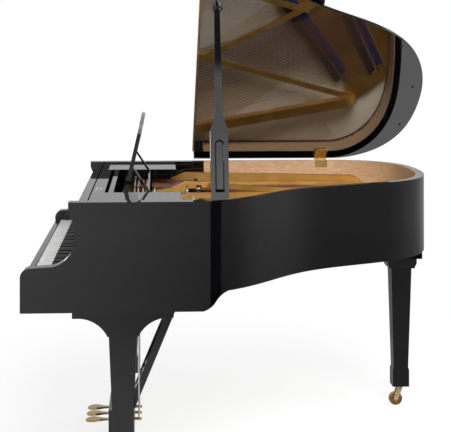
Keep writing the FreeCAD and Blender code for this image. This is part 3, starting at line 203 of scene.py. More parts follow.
def plainWood(name, colours):
    # Planed wood, straight grained: pale and dark growth lines a few millimetres apart.
    material, tree, shader, coords = newMaterial(name, Roughness=0.5)
    lines = noise(tree, coords, 3.0, 5.0, (0.03, 1.0, 1.0))
    cloud = noise(tree, coords, 60, 2.0, (0.2, 1.0, 1.0))
    both = calc(tree, "MULTIPLY_ADD", lines, 0.7, cloud)
    paint(tree, shader, Base_Color=spread(tree, both, colours, (0.55, 0.85, 1.1)))
    roughen(tree, shader, lines, 0.08, 0.35)
    return material


def sprucePlanks(name, turn):
    # Quartered spruce, glued up in narrow boards and varnished: close dark growth lines in pale wood.
    material, tree, shader, coords = newMaterial(name, Roughness=0.3, IOR=1.5)
    slanted = addNode(tree, "ShaderNodeMapping", {"Rotation": (0, 0, turn)}, Vector=coords).outputs[0]
    boards = addNode(tree, "ShaderNodeTexBrick",
                     {"Scale": 1.0, "Mortar Size": 0.0, "Brick Width": 3.0, "Row Height": 0.068,
                      "offset": 0.37, "Color1": linear("#f8eedb"), "Color2": linear("#e0cdab")},
                     Vector=slanted).outputs["Color"]
    rings = noise(tree, slanted, 2.4, 3.0, (0.015, 1.0, 1.0))  # rings drawn coarse enough to show
    ringTint = spread(tree, rings, ("#b7935f", "#ffffff"), (0.35, 0.62))
    paint(tree, shader, Base_Color=mixColours(tree, 0.18, boards, ringTint, "MULTIPLY"))
    roughen(tree, shader, rings, 0.03, 0.2)
    return material


def bronzedIron(name):
    # Cast iron, filled, ground and sprayed with bronze lacquer: warm gold with a fine sandy sparkle.
    material, tree, shader, coords = newMaterial(name, Metallic=0.85)
    sand = noise(tree, coords, 1.6, 3.0)
    patch = noise(tree, coords, 90, 3.0)
    both = calc(tree, "MULTIPLY_ADD", sand, 0.5, patch)
    paint(tree, shader, Base_Color=spread(tree, both, ("#cf9a4a", "#e2ad59", "#f0c174"), (0.5, 0.75, 1.0)),
          Roughness=spread(tree, sand, (0.33, 0.48)))
    roughen(tree, shader, sand, 0.12, 0.4)
    return material


def drawnMetal(name, colours, rough, metallic=1.0, pitch=6.0, stretch=None):
    # Turned, drawn or polished metal: bright, with faint tarnish and tool lines.
    material, tree, shader, coords = newMaterial(name, Metallic=metallic)
    tarnish = noise(tree, coords, pitch, 5.0, stretch)
    paint(tree, shader, Base_Color=spread(tree, tarnish, colours),
          Roughness=spread(tree, tarnish, rough, (0.3, 0.75)))
    roughen(tree, shader, tarnish, 0.02, 0.3)
    return material


def woundCopper(name):
    # Copper wire wound on a steel core: ridged across its length, brown where it has aged.
    material, tree, shader, coords = newMaterial(name, Metallic=0.7)
    turns = addNode(tree, "ShaderNodeTexWave",
                    {"Scale": perMetre(2.4) / math.tau, "Distortion": 0.4, "wave_profile": "SIN"},
                    Vector=coords).outputs["Fac"]  # pitch drawn coarse
    paint(tree, shader, Base_Color=spread(tree, turns, ("#6d4636", "#c4907a"), (0.1, 0.8)),
          Roughness=spread(tree, noise(tree, coords, 30), (0.28, 0.42)))
    roughen(tree, shader, turns, 0.3, 0.8)
    return material


def keyAcrylic(name):
    # Moulded acrylic key tops, lightly polished: cool white with slight depth and a few hairlines.
    material, tree, shader, coords = newMaterial(name, IOR=1.49, Subsurface_Weight=0.08,
                                                 Subsurface_Scale=0.002)
    cloud = noise(tree, coords, 70, 2.0)
    hair = noise(tree, coords, 1.2, 2.0, (0.04, 1.0, 1.0))
    paint(tree, shader, Base_Color=spread(tree, cloud, ("#c6c5c1", "#d2d1cd")),
          Roughness=spread(tree, hair, (0.16, 0.3), (0.3, 0.75)))
    return material


def woolFelt(name, colours):
    # Pressed wool: matt, with a short fuzz that catches light at the edges.
    material, tree, shader, coords = newMaterial(name, Roughness=0.95, Sheen_Weight=0.35, Sheen_Roughness=0.5)
    fuzz = noise(tree, coords, 1.6, 6.0)
    paint(tree, shader, Base_Color=spread(tree, fuzz, colours))
    roughen(tree, shader, fuzz, 0.5, 0.7)
    return material


def blackRubber(name):
    # Moulded rubber: dull black with a fine bloom.
    material, tree, shader, coords = newMaterial(name)
    bloom = noise(tree, coords, 5, 4.0)
    paint(tree, shader, Base_Color=spread(tree, bloom, ("#1a1a1a", "#2b2b2b")),
          Roughness=spread(tree, bloom, (0.55, 0.75)))
    return material


lacquer = polishedLacquer("black_polyester_lacquer", 1.54)
lidLacquer = polishedLacquer("black_polyester_lid_lacquer", 3.6)  # index raised for a stronger mirror
pedalBrass = drawnMetal("buffed_pedal_brass", ("#9c7c46", "#c2a873"), (0.05, 0.16))
wheelBrass = drawnMetal("cast_wheel_brass", ("#a06f35", "#c4955a"), (0.16, 0.32), 0.9)
forkBrass = drawnMetal("satin_fork_brass", ("#cbb088", "#e0caa2"), (0.22, 0.36), 0.8)
# maple coloured dark brown: painted shade for the bridges as seen in the lid's mirror
shadeDarkenedMaple = plainWood("maple_darkened_as_painted_shade", ("#4a3120", "#5d4029", "#6d4e35"))
graphite = satinBlack("graphited_maple", ("#161514", "#232120"), (0.4, 0.55))
slotMaterial = {
    "black_lacquer": lacquer,
    "mahogany_veneer": veneer("figured_mahogany_veneer", ("#af8a68", "#bf9b77", "#caa988")),
    "spruce": sprucePlanks("varnished_spruce", math.radians(36)),
    "maple": plainWood("planed_maple", ("#b48f62", "#c9a67a", "#d8bb92")),
    "beech_frame": plainWood("planed_beech", ("#a37c54", "#b98f63", "#c9a278")),
    "gold_iron": bronzedIron("bronzed_cast_iron"),
    # string steel coloured brown and darker than bright steel: partly tarnish, partly painted shade for the
    # strings as seen in the lid's mirror
    "string_steel": drawnMetal("drawn_string_steel_with_painted_shade", ("#7d6255", "#a08a7d"), (0.25, 0.4), 0.6, 30,
                               (0.1, 1.0, 1.0)),
    "copper_winding": woundCopper("wound_copper"),
    "pin_steel": drawnMetal("nickelled_pin_steel", ("#c9c8c4", "#eceae6"), (0.16, 0.3), 0.85),
    "brass": drawnMetal("polished_brass", ("#cda45c", "#efd49a"), (0.14, 0.3), 0.85),
    "white_key": keyAcrylic("white_key_acrylic"),
    "black_key": satinBlack("ebonised_key_wood", ("#141310", "#22211d"), (0.28, 0.42)),
    "blue_felt": woolFelt("blue_wool_felt", ("#151a4a", "#262d78")),
    "hammer_felt": woolFelt("hammer_wool_felt", ("#cfc8b6", "#e6e0d2")),
    "damper_black": satinBlack("black_damper_wood"),
    "bumper_rubber": blackRubber("moulded_black_rubber"),
}
for name, node in nodes.items():
    for materialSlot in node.material_slots:
        materialSlot.material = slotMaterial[nodeSlots[name]]
print("materials made:", len(bpy.data.materials))


def deselect():
    if bpy.context.object and bpy.context.object.mode != "OBJECT":
        bpy.ops.object.mode_set(mode="OBJECT")
    bpy.ops.object.select_all(action="DESELECT")


def activate(piece):
    deselect()
    piece.select_set(True)
    bpy.context.view_layer.objects.active = piece


def settle(piece, body, slot, material, *replaced):  # place in the mesh, then finish and ride
    activate(piece)
    bpy.ops.object.transform_apply(location=True, rotation=True, scale=True)
    if material:
        piece.data.materials.clear()
        for each in material if isinstance(material, list) else [material]:
            piece.data.materials.append(each)
    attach(piece, body)
    if replaced:
        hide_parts(*replaced)
    return piece


def applyModifiers(piece):
    activate(piece)
    for modifier in list(piece.modifiers):
        bpy.ops.object.modifier_apply(modifier=modifier.name)


squareOn = 0.99  # a face counts as square to a direction above this share


def isEnd(face):  # either flat end of an upright turned piece
    return abs(face.normal.z) > squareOn


def isTop(face):
    return face.normal.z > squareOn


def pick(piece, wanted, kind="FACE"):  # faces or edges picked in code, ready for edit mode
    activate(piece)
    bpy.ops.object.mode_set(mode="EDIT")
    bpy.ops.mesh.select_mode(type=kind)
    bpy.ops.mesh.select_all(action="DESELECT")
    bpy.ops.object.mode_set(mode="OBJECT")
    for each in piece.data.polygons if kind == "FACE" else piece.data.edges:
        each.select = wanted(each)
    bpy.ops.object.mode_set(mode="EDIT")


def pickEdges(piece, wanted):  # by the places of an edge's two ends
    corners = [vertex.co for vertex in piece.data.vertices]
    pick(piece, lambda edge: wanted(*[corners[i] for i in edge.vertices]), "EDGE")


def roundPicked(size, steps):  # millimetres, then back to object mode
    bpy.ops.mesh.bevel(offset=size / 1000, segments=steps, affect="EDGES")
    bpy.ops.object.mode_set(mode="OBJECT")


def roundFaces(piece, wanted, size, steps):
    pick(piece, wanted)
    roundPicked(size, steps)


def extrudePicked(move):
    bpy.ops.mesh.extrude_region_move(TRANSFORM_OT_translate={"value": move})


def cutAcross(piece, places, normal):  # new edges where flat planes pass through the piece
    activate(piece)
    bpy.ops.object.mode_set(mode="EDIT")
    for place in places:
        bpy.ops.mesh.select_all(action="SELECT")
        bpy.ops.mesh.bisect(plane_co=place, plane_no=normal)
    bpy.ops.object.mode_set(mode="OBJECT")


def newBlock(length, breadth, height):  # millimetres, about the origin
    deselect()
    bpy.ops.mesh.primitive_cube_add(size=1.0)
    block = bpy.context.object
    block.scale = (length / 1000, breadth / 1000, height / 1000)
    bpy.ops.object.transform_apply(scale=True)
    return block


def newCylinder(corners, radius, height, middle=0.0, material=None):  # millimetres, upright on the z axis
    deselect()
    bpy.ops.mesh.primitive_cylinder_add(vertices=corners, radius=radius / 1000, depth=height / 1000,
                                        location=(0, 0, middle / 1000))
    bpy.ops.object.transform_apply(location=True)
    cylinder = bpy.context.object
    if material:
        cylinder.data.materials.append(material)
    return cylinder


def soften(piece, edge, steps):  # a small bevel on all its sharp edges
    bevel = piece.modifiers.new("round", "BEVEL")
    bevel.width = edge / 1000
    bevel.segments = steps
    applyModifiers(piece)


def joinAll(pieces, name):  # one object from several, kept in the first
    deselect()
    for piece in pieces:
        piece.select_set(True)
    bpy.context.view_layer.objects.active = pieces[0]
    bpy.ops.object.transform_apply(location=True, rotation=True, scale=True)
    if len(pieces) > 1:
        bpy.ops.object.join()
    pieces[0].name = name
    return pieces[0]


def copyAlong(model, places, name):  # copies of one model, each with its own mesh, then joined
    copies = []
    for place in places:
        copy = bpy.data.objects.new(name, model.data.copy())
        scene.collection.objects.link(copy)
        copy.matrix_world = place if isinstance(place, Matrix) else Matrix.Translation(place)
        copies.append(copy)
    bpy.data.objects.remove(model)
    return joinAll(copies, name)


islandGrid = 20000  # corners within a twentieth of a millimetre are one


def islandBoxes(name):  # lowest and highest corner of each loose body of a node
    mesh = nodes[name].data
    keys = [tuple(round(c * islandGrid) for c in vertex.co) for vertex in mesh.vertices]
    parent = {key: key for key in keys}

    def top(key):
        while parent[key] != key:
            parent[key] = parent[parent[key]]
            key = parent[key]
        return key

    for face in mesh.polygons:
        for corner in face.vertices[1:]:
            parent[top(keys[corner])] = top(keys[face.vertices[0]])
    groups = {}
    for vertex, key in zip(mesh.vertices, keys):
        groups.setdefault(top(key), []).append(vertex.co)
    return [(Vector(map(min, zip(*points))), Vector(map(max, zip(*points)))) for points in groups.values()]


easing = {"weld": 0.02, "sliver": 0.003,  # millimetres
          "flat": math.radians(0.4), "smooth": math.radians(40)}


def easedCopy(name, edge, material=None, steps=2, angle=32, shape=None):  # a node with sharp edges rounded
    piece = bpy.data.objects.new(name + "_finished", nodes[name].data.copy())
    scene.collection.objects.link(piece)
    activate(piece)
    bpy.ops.object.mode_set(mode="EDIT")
    bpy.ops.mesh.select_all(action="SELECT")
    bpy.ops.mesh.customdata_custom_splitnormals_clear()
    bpy.ops.mesh.remove_doubles(threshold=easing["weld"] / 1000)
    bpy.ops.mesh.dissolve_limited(angle_limit=easing["flat"])
    bpy.ops.object.mode_set(mode="OBJECT")
    if shape:
        shape(piece)
    bevel = piece.modifiers.new("round", "BEVEL")
    bevel.width = edge / 1000
    bevel.segments = steps
    bevel.limit_method = "ANGLE"
    bevel.angle_limit = math.radians(angle)
    bevel.use_clamp_overlap = True
    bpy.ops.object.shade_smooth_by_angle(angle=easing["smooth"])
    weigh = piece.modifiers.new("weigh", "WEIGHTED_NORMAL")
    weigh.keep_sharp = True
    applyModifiers(piece)
    bpy.ops.object.mode_set(mode="EDIT")
    bpy.ops.mesh.select_all(action="SELECT")
    bpy.ops.mesh.dissolve_degenerate(threshold=easing["sliver"] / 1000)
    bpy.ops.object.mode_set(mode="OBJECT")
    slot = nodeSlots[name]
    return settle(piece, nodes[name]["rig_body"], slot, material or slotMaterial[slot], name)


caseEdges = {"case_rim": 2.0, "key_slip": 3.0, "key_blocks": 2.0, "front_rails": 1.5, "keybed": 2.0}
legEdges = {"front_legs": 2.0, "rear_leg": 2.0, "lyre": 3.0, "lyre_braces": 2.0}
deskEdges = {"music_desk": 3.0, "desk_tray": 1.2, "desk_support": 1.2}
movingEdges = {"fallboard": 3.0, "prop_stick": 2.5, "half_prop": 1.6, "prop_bracket": 1.2}
keyEdges = {"white_keys_odd": 1.0, "white_keys_even": 1.0, "black_keys_odd": 1.6, "black_keys_even": 1.6}
plateEdges = {"iron_plate": 3.0}
hingeEdges = {"lid_hinge_rim_leaves": 0.6, "lid_hinge_lid_leaves": 0.6}
for group in (caseEdges, legEdges, deskEdges, movingEdges, keyEdges, plateEdges, hingeEdges):
    for name, edge in group.items():
        easedCopy(name, edge)
print("eased pieces made")

lidForm = {"edge": 1.6, "crown": 16.0, "steps": 5, "thick": 21.7, "joint": 602.0, "jointGap": 6.0,
           "skin": 0.2, "leastArea": 0.02, "opened": math.radians(37.2)}
lidUp = Vector((0, math.sin(lidForm["opened"]), math.cos(lidForm["opened"])))


def makeLid(name, topSide):
    # The mirror side keeps its plain edge; the other is rounded over, but not along the long hinge.
    def crown(piece):
        pick(piece, lambda face: face.normal.dot(topSide) > squareOn and face.area > lidForm["leastArea"])
        bpy.ops.mesh.select_all(action="INVERT")
        bpy.ops.mesh.delete(type="FACE")
        bpy.ops.mesh.select_all(action="SELECT")
        extrudePicked(topSide * -lidForm["thick"] / 1000)
        bpy.ops.mesh.select_all(action="SELECT")
        bpy.ops.mesh.normals_make_consistent(inside=False)
        bpy.ops.object.mode_set(mode="OBJECT")
        top = max(vertex.co.dot(topSide) for vertex in piece.data.vertices) - lidForm["skin"] / 1000
        joint = at(lidForm["joint"], 0, 0).x
        pickEdges(piece, lambda start, end: min(start.dot(topSide), end.dot(topSide)) > top
                  and max(abs(start.x - joint), abs(end.x - joint)) > lidForm["jointGap"] / 1000)
        roundPicked(lidForm["crown"], lidForm["steps"])

    piece = easedCopy(name, lidForm["edge"], [lacquer, lidLacquer], shape=crown)
    for face in piece.data.polygons:
        face.material_index = 1 if face.normal.dot(topSide) < -squareOn else 0


makeLid("lid", lidUp)
makeLid("lid_flap", -lidUp)
wireEdges = {"plain_strings": 0.35, "bass_strings": 0.9, "plate_fixings": 0.8}
for name, edge in wireEdges.items():
    easedCopy(name, edge, steps=1)
print("lid and wires made")

pedalForm = {"edge": 3.0, "steps": 3, "angle": 40, "middle": 90.0, "slack": 0.1,
             "profile": [(174, 0.5, -2.0, 1.0), (186, 0.85, -0.6, 1.0), (206, 1.0, 0.6, 1.0),
                         (222, 0.85, 0.5, 0.78), (236, 0.66, 0.3, 0.55), (251, 0.6, 0.1, 0.56),
                         (266, 0.6, 0.0, 0.77), (290, 0.6, 0.0, 1.0),
                         (384, 0.6, 0.0, 1.0)]}  # place along it, share of thickness, lift, share of width


def swellPedal(piece):  # a rounded toe on a slim neck
    steps = pedalForm["profile"]
    slack = pedalForm["slack"]
    cutAcross(piece, [at(step[0], 0, 0) for step in steps[1:-1]], (1, 0, 0))
    middle = pedalForm["middle"] / 1000
    sides = [vertex.co.y for vertex in piece.data.vertices]
    centre = (min(sides) + max(sides)) / 2
    for vertex in piece.data.vertices:
        x = vertex.co.x * 1000 + origin["x"]
        for first, last in zip(steps, steps[1:]):
            if first[0] - slack <= x <= last[0] + slack:
                blend = (x - first[0]) / (last[0] - first[0])
                thick, lift, wide = [a + (b - a) * blend for a, b in zip(first[1:], last[1:])]
        vertex.co.z = middle + (vertex.co.z - middle) * thick + lift / 1000
        vertex.co.y = centre + (vertex.co.y - centre) * wide


for name in ("sustain_pedal", "sostenuto_pedal", "soft_pedal"):
    easedCopy(name, pedalForm["edge"], pedalBrass, pedalForm["steps"], pedalForm["angle"], swellPedal)
print("pedals made")

casterForm = {"edge": 1.2, "corners": 48, "rim": 5.0, "slope": 1.0, "recess": 3.5,
              "boltCorners": 16, "boltRadius": 5.5, "boltStand": 3.0, "boltEdge": 0.8}


def makeWheel(side, low, high):  # flat sides turned back inside the tread
    wheel = newCylinder(casterForm["corners"], (high.x - low.x) / 2 * 1000, (high.y - low.y) * 1000)
    wheel.name = side + "_wheel_turned"
    roundFaces(wheel, isEnd, casterForm["edge"], steps=2)
    pick(wheel, isEnd)
    bpy.ops.mesh.inset(thickness=casterForm["rim"] / 1000)
    bpy.ops.mesh.inset(thickness=casterForm["slope"] / 1000, depth=-casterForm["recess"] / 1000)
    bpy.ops.object.mode_set(mode="OBJECT")
    bpy.ops.object.shade_smooth_by_angle(angle=easing["smooth"])
    wheel.location = (low + high) / 2
    wheel.rotation_euler.x = math.pi / 2
    settle(wheel, side + "_wheel", "brass", wheelBrass, side + "_caster_wheel")


def makeCaster(side):
    easedCopy(side + "_caster_fork", casterForm["edge"], forkBrass)
    low, high = islandBoxes(side + "_caster_wheel")[0]
    makeWheel(side, low, high)
    forkLow, forkHigh = islandBoxes(side + "_caster_fork")[0]
    bolt = newCylinder(casterForm["boltCorners"], casterForm["boltRadius"],
                       (forkHigh.y - forkLow.y) * 1000 + casterForm["boltStand"],
                       material=slotMaterial["pin_steel"])
    roundFaces(bolt, isEnd, casterForm["boltEdge"], steps=2)
    bolt.name = side + "_axle_bolt"
    bolt.location = ((low.x + high.x) / 2, (forkLow.y + forkHigh.y) / 2, (low.z + high.z) / 2)
    bolt.rotation_euler.x = math.pi / 2
    settle(bolt, side + "_fork", "pin_steel", None)


for side in ("treble", "bass", "tail"):
    makeCaster(side)
print("casters made")

bridgeForm = {"edge": 1.5, "pitch": 9.0, "inset": 7.0, "corners": 6, "radius": 1.3, "tall": 5.0}


def makeBridge(name):
    # Maple coloured dark brown, a painted shade for the bridges as seen in the lid's mirror, with a blackened
    # top; gives the places of the pins that the strings bear on.
    piece = easedCopy(name, bridgeForm["edge"], [shadeDarkenedMaple, graphite])
    for face in piece.data.polygons:
        face.material_index = 1 if isTop(face) else 0
    top = max((face for face in piece.data.polygons if isTop(face)), key=lambda face: face.area)
    outline = [piece.data.vertices[i].co for i in top.vertices]
    spots, left = [], 0.0
    for start, end in zip(outline, outline[1:] + outline[:1]):
        along = (end - start).normalized()
        inward = Vector((-along.y, along.x, 0)) * bridgeForm["inset"] / 1000
        while left < (end - start).length:
            spots.append(start + along * left + inward)
            left += bridgeForm["pitch"] / 1000
        left -= (end - start).length
    return spots


def makeBridgePins():
    spots = makeBridge("long_bridge") + makeBridge("bass_bridge")
    pin = newCylinder(bridgeForm["corners"], bridgeForm["radius"], bridgeForm["tall"],
                      material=slotMaterial["pin_steel"])
    settle(copyAlong(pin, spots, "bridge_pins"), "case", "pin_steel", None)
    print("bridge pins made:", len(spots))


makeBridgePins()

tuningPin = {"corners": 8, "radius": 3.3, "foot": 890.0, "top": 925.0, "square": 916.5, "squareFrom": 1.0,
             "squareShare": 0.72, "coilRadius": 5.2, "coilHeight": 5.6, "coilEdge": 1.2,
             "bassCoil": 911.0, "plainCoil": 902.0, "bassFrom": 1010.0}


def makePin(coilAt):
    pin = newCylinder(tuningPin["corners"], tuningPin["radius"], tuningPin["top"] - tuningPin["foot"],
                      (tuningPin["top"] + tuningPin["foot"]) / 2, slotMaterial["pin_steel"])
    cutAcross(pin, [(0, 0, tuningPin["square"] / 1000)], (0, 0, 1))
    for vertex in pin.data.vertices:  # the squared end for the tuning lever
        if vertex.co.z > (tuningPin["square"] + tuningPin["squareFrom"]) / 1000:
            vertex.co.x *= tuningPin["squareShare"]
            vertex.co.y *= tuningPin["squareShare"]
    coil = newCylinder(tuningPin["corners"], tuningPin["coilRadius"], tuningPin["coilHeight"], coilAt,
                       slotMaterial["string_steel"])
    roundFaces(coil, lambda face: True, tuningPin["coilEdge"], steps=1)
    return joinAll([pin, coil], "tuning_pin")


def makeTuningPins():
    centres = [(low + high) / 2 for low, high in islandBoxes("tuning_pins")]
    bassFrom = at(0, tuningPin["bassFrom"], 0).y
    rows = []
    for coil, inBass in (("bassCoil", True), ("plainCoil", False)):
        feet = [Vector((centre.x, centre.y, 0)) for centre in centres if (centre.y > bassFrom) == inBass]
        rows.append(copyAlong(makePin(tuningPin[coil]), feet, coil))
    pins = joinAll(rows, "tuning_pins_turned")
    settle(pins, nodes["tuning_pins"]["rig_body"], "pin_steel", None, "tuning_pins")
    print("tuning pins made:", len(centres))


makeTuningPins()

damperHead = {"length": 14.0, "breadth": 9.0, "height": 8.0, "felt": 3.6, "edge": 0.8}


def makeDampers():
    head = newBlock(damperHead["length"], damperHead["breadth"], damperHead["height"])
    head.location.z = damperHead["height"] / 2 / 1000
    bpy.ops.object.transform_apply(location=True)
    cutAcross(head, [(0, 0, damperHead["felt"] / 1000)], (0, 0, 1))
    head.data.materials.append(slotMaterial["damper_black"])
    head.data.materials.append(slotMaterial["hammer_felt"])
    soften(head, damperHead["edge"], steps=1)
    for face in head.data.polygons:
        face.material_index = 1 if face.center.z < damperHead["felt"] / 1000 else 0
    feet = [Vector(((low.x + high.x) / 2, (low.y + high.y) / 2, low.z))
            for low, high in islandBoxes("dampers")]
    row = copyAlong(head, feet, "dampers_felted")
    settle(row, nodes["dampers"]["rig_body"], "damper_black", None, "dampers")


makeDampers()

hammerForm = {"edge": 1.6, "pivot": (441.0, 822.0), "shank": 118.0, "drop": math.radians(20)}


def makeHammers(name):
    along = Vector((math.cos(hammerForm["drop"]), 0, -math.sin(hammerForm["drop"])))
    pivotX, pivotZ = hammerForm["pivot"]
    start = at(pivotX, 0, pivotZ) + along * hammerForm["shank"] / 1000
    piece = easedCopy(name, hammerForm["edge"], [slotMaterial["maple"], slotMaterial["hammer_felt"]], steps=1,
                      shape=lambda piece: cutAcross(piece, [start], along))
    for face in piece.data.polygons:
        face.material_index = 1 if (face.center - start).dot(along) > 0 else 0


for name in ("white_hammers_odd", "white_hammers_even", "black_hammers_odd", "black_hammers_even"):
    makeHammers(name)
print("hammers and dampers made")

wideFelt = {"edge": 0.8, "away": Vector((0.81, -0.586, 0)), "facing": 0.6, "extra": 20.0, "from": 650.0}


def widenFelt(piece):  # the strips behind the bridges run on towards the hitch pins
    start = at(wideFelt["from"], 0, 0).x
    pick(piece, lambda face: face.normal.dot(wideFelt["away"]) > wideFelt["facing"] and face.center.x > start)
    extrudePicked(wideFelt["away"] * wideFelt["extra"] / 1000)
    bpy.ops.object.mode_set(mode="OBJECT")


easedCopy("string_felts", wideFelt["edge"], steps=1, shape=widenFelt)

propLine = {"heel": at(648.0, 88.0, 955.0), "lean": math.radians(18)}
propLine["along"] = Vector((0, math.sin(propLine["lean"]), math.cos(propLine["lean"])))
propLine["back"] = Vector((0, math.cos(propLine["lean"]), -math.sin(propLine["lean"])))


def settleOnProp(piece, name, along, back, material):  # millimetres up the prop from its heel, and behind it
    piece.name = name
    piece.location = propLine["heel"] + (propLine["along"] * along + propLine["back"] * back) / 1000
    piece.rotation_euler = (-propLine["lean"], 0, 0)
    settle(piece, "prop", "black_lacquer", material)


slotLining = {"width": 30.4, "start": 48.2, "end": 225.8, "thick": 2.0, "behind": 10.6, "corner": 15.124}


def makeLining():
    # Dull black strip let into the back of the prop's slot.
    strip = newBlock(slotLining["width"], slotLining["thick"], slotLining["end"] - slotLining["start"])
    pickEdges(strip, lambda start, end: min(start.z, end.z) > 0 and start.y != end.y)
    roundPicked(slotLining["corner"], steps=8)
    settleOnProp(strip, "prop_slot_lining", (slotLining["start"] + slotLining["end"]) / 2,
                 slotLining["behind"], slotMaterial["damper_black"])


propBead = {"at": 698.0, "radius": 20.5, "height": 18.0, "segments": 24, "rings": 12}


def makeBead():
    # Turned bead below the prop's ferrule.
    deselect()
    bpy.ops.mesh.primitive_uv_sphere_add(segments=propBead["segments"], ring_count=propBead["rings"],
                                         radius=propBead["radius"] / 1000)
    bead = bpy.context.object
    bead.scale.z = propBead["height"] / propBead["radius"] / 2
    bpy.ops.object.transform_apply(scale=True)
    bpy.ops.object.shade_smooth()
    settleOnProp(bead, "prop_bead", propBead["at"], 0, lacquer)


makeLining()
makeBead()

screwHead = {"corners": 12, "radius": 4.2, "height": 1.4, "slot": 0.7, "depth": 0.7, "edge": 0.5}


def makeScrew():
    half = screwHead["slot"] / 1000
    screw = newCylinder(screwHead["corners"], screwHead["radius"], screwHead["height"],
                        material=slotMaterial["brass"])
    roundFaces(screw, isTop, screwHead["edge"], steps=1)
    cutAcross(screw, [(0, -half, 0), (0, half, 0)], (0, 1, 0))
    pick(screw, lambda face: isTop(face) and abs(face.center.y) < half)
    extrudePicked((0, 0, -screwHead["depth"] / 1000))
    bpy.ops.object.mode_set(mode="OBJECT")
    return screw


lidHinges = {"middles": (706.1, 1170.3), "axis": (1475.5, 986.5), "rimTop": 985.0, "lidFace": 1.5,
             "spots": ((-16, 16), (16, 16), (-16, 52), (16, 52)), "rimSpots": ((-16, 22), (16, 22))}


def makeHingeScrews():
    axisY, axisZ = lidHinges["axis"]
    outward = Vector((0, -math.cos(lidForm["opened"]), math.sin(lidForm["opened"])))
    down = Matrix.Rotation(math.pi - lidForm["opened"], 4, "X")  # a screw's top turned to the lid's underside
    lidPlaces = [Matrix.Translation(at(middle + side, axisY, axisZ) + outward * reach / 1000
                                    + lidUp * lidHinges["lidFace"] / 1000) @ down
                 for middle in lidHinges["middles"] for side, reach in lidHinges["spots"]]
    rimPlaces = [at(middle + side, axisY - reach, lidHinges["rimTop"])
                 for middle in lidHinges["middles"] for side, reach in lidHinges["rimSpots"]]
    settle(copyAlong(makeScrew(), lidPlaces, "lid_hinge_screws"), "lid", "brass", None)
    settle(copyAlong(makeScrew(), rimPlaces, "rim_hinge_screws"), "case", "brass", None)


makeHingeScrews()

lockPlate = {"place": (221.0, 704.0, 948.0), "size": (22.0, 105.0, 1.6),
             "corner": 5.0, "rim": 6.0, "slot": 0.9}


def makeLockPlate():
    # Keeper let into the top of the lock rail.
    plate = newBlock(*lockPlate["size"])
    plate.name = "lock_keeper"
    pickEdges(plate, lambda start, end: start.z != end.z)
    roundPicked(lockPlate["corner"], steps=4)
    pick(plate, isTop)
    bpy.ops.mesh.inset(thickness=lockPlate["rim"] / 1000)
    extrudePicked((0, 0, -lockPlate["slot"] / 1000))
    bpy.ops.object.mode_set(mode="OBJECT")
    plate.location = at(*lockPlate["place"])
    settle(plate, "case", "pin_steel", slotMaterial["pin_steel"])


makeLockPlate()

strutWebs = {"start": (506.0, 979.6), "slope": 0.289, "runs": ((562.0, 599.0), (619.0, 662.0)),
             "low": 914.5, "high": 931.0, "thick": 20.0, "edge": 2.0}


def makeWebs():
    # Cast skirts under the crossing strut, open where the dampers stand.
    startX, startY = strutWebs["start"]
    webs = []
    for first, last in strutWebs["runs"]:
        middle = (first + last) / 2
        web = newBlock(last - first, strutWebs["thick"], strutWebs["high"] - strutWebs["low"])
        soften(web, strutWebs["edge"], steps=2)
        web.location = at(middle, startY + (middle - startX) * strutWebs["slope"],
                          (strutWebs["low"] + strutWebs["high"]) / 2)
        web.rotation_euler.z = math.atan(strutWebs["slope"])
        webs.append(web)
    settle(joinAll(webs, "plate_strut_webs"), "case", "gold_iron", slotMaterial["gold_iron"])


makeWebs()

noseBolt = {"places": ((551, 651, 926), (566, 378, 926)), "corners": 12, "radius": 4.0, "tall": 31.0,
            "nutCorners": 6, "nut": 9.0, "nutTall": 10.0, "nutAt": 18.0, "nutEdge": 1.2, "dome": 2.5}


def makeNoseBolts():
    # Threaded post with a hexagon nut, standing on a strut of the plate.
    steel = slotMaterial["pin_steel"]
    post = newCylinder(noseBolt["corners"], noseBolt["radius"], noseBolt["tall"], noseBolt["tall"] / 2, steel)
    roundFaces(post, isTop, noseBolt["dome"], steps=2)
    nut = newCylinder(noseBolt["nutCorners"], noseBolt["nut"], noseBolt["nutTall"], noseBolt["nutAt"], steel)
    roundFaces(nut, lambda face: True, noseBolt["nutEdge"], steps=2)
    bolt = joinAll([post, nut], "nose_bolt")
    bolts = copyAlong(bolt, [at(*place) for place in noseBolt["places"]], "plate_nose_bolts")
    settle(bolts, "case", "pin_steel", None)


makeNoseBolts()
print("small fittings made")

camera = {"place": at(426, -3931, 1476), "yaw": 0.0563,
          "sensor": 36.0, "lens": 97.27, "shift": (0.0086, -0.369)}


def setCamera():
    data = bpy.data.cameras.new("view")
    data.sensor_width = camera["sensor"]
    data.lens = camera["lens"]
    data.shift_x, data.shift_y = camera["shift"]
    holder = bpy.data.objects.new("view", data)
    holder.location = camera["place"]
    holder.rotation_euler = (math.pi / 2, 0, -camera["yaw"])
    scene.collection.objects.link(holder)
    scene.camera = holder


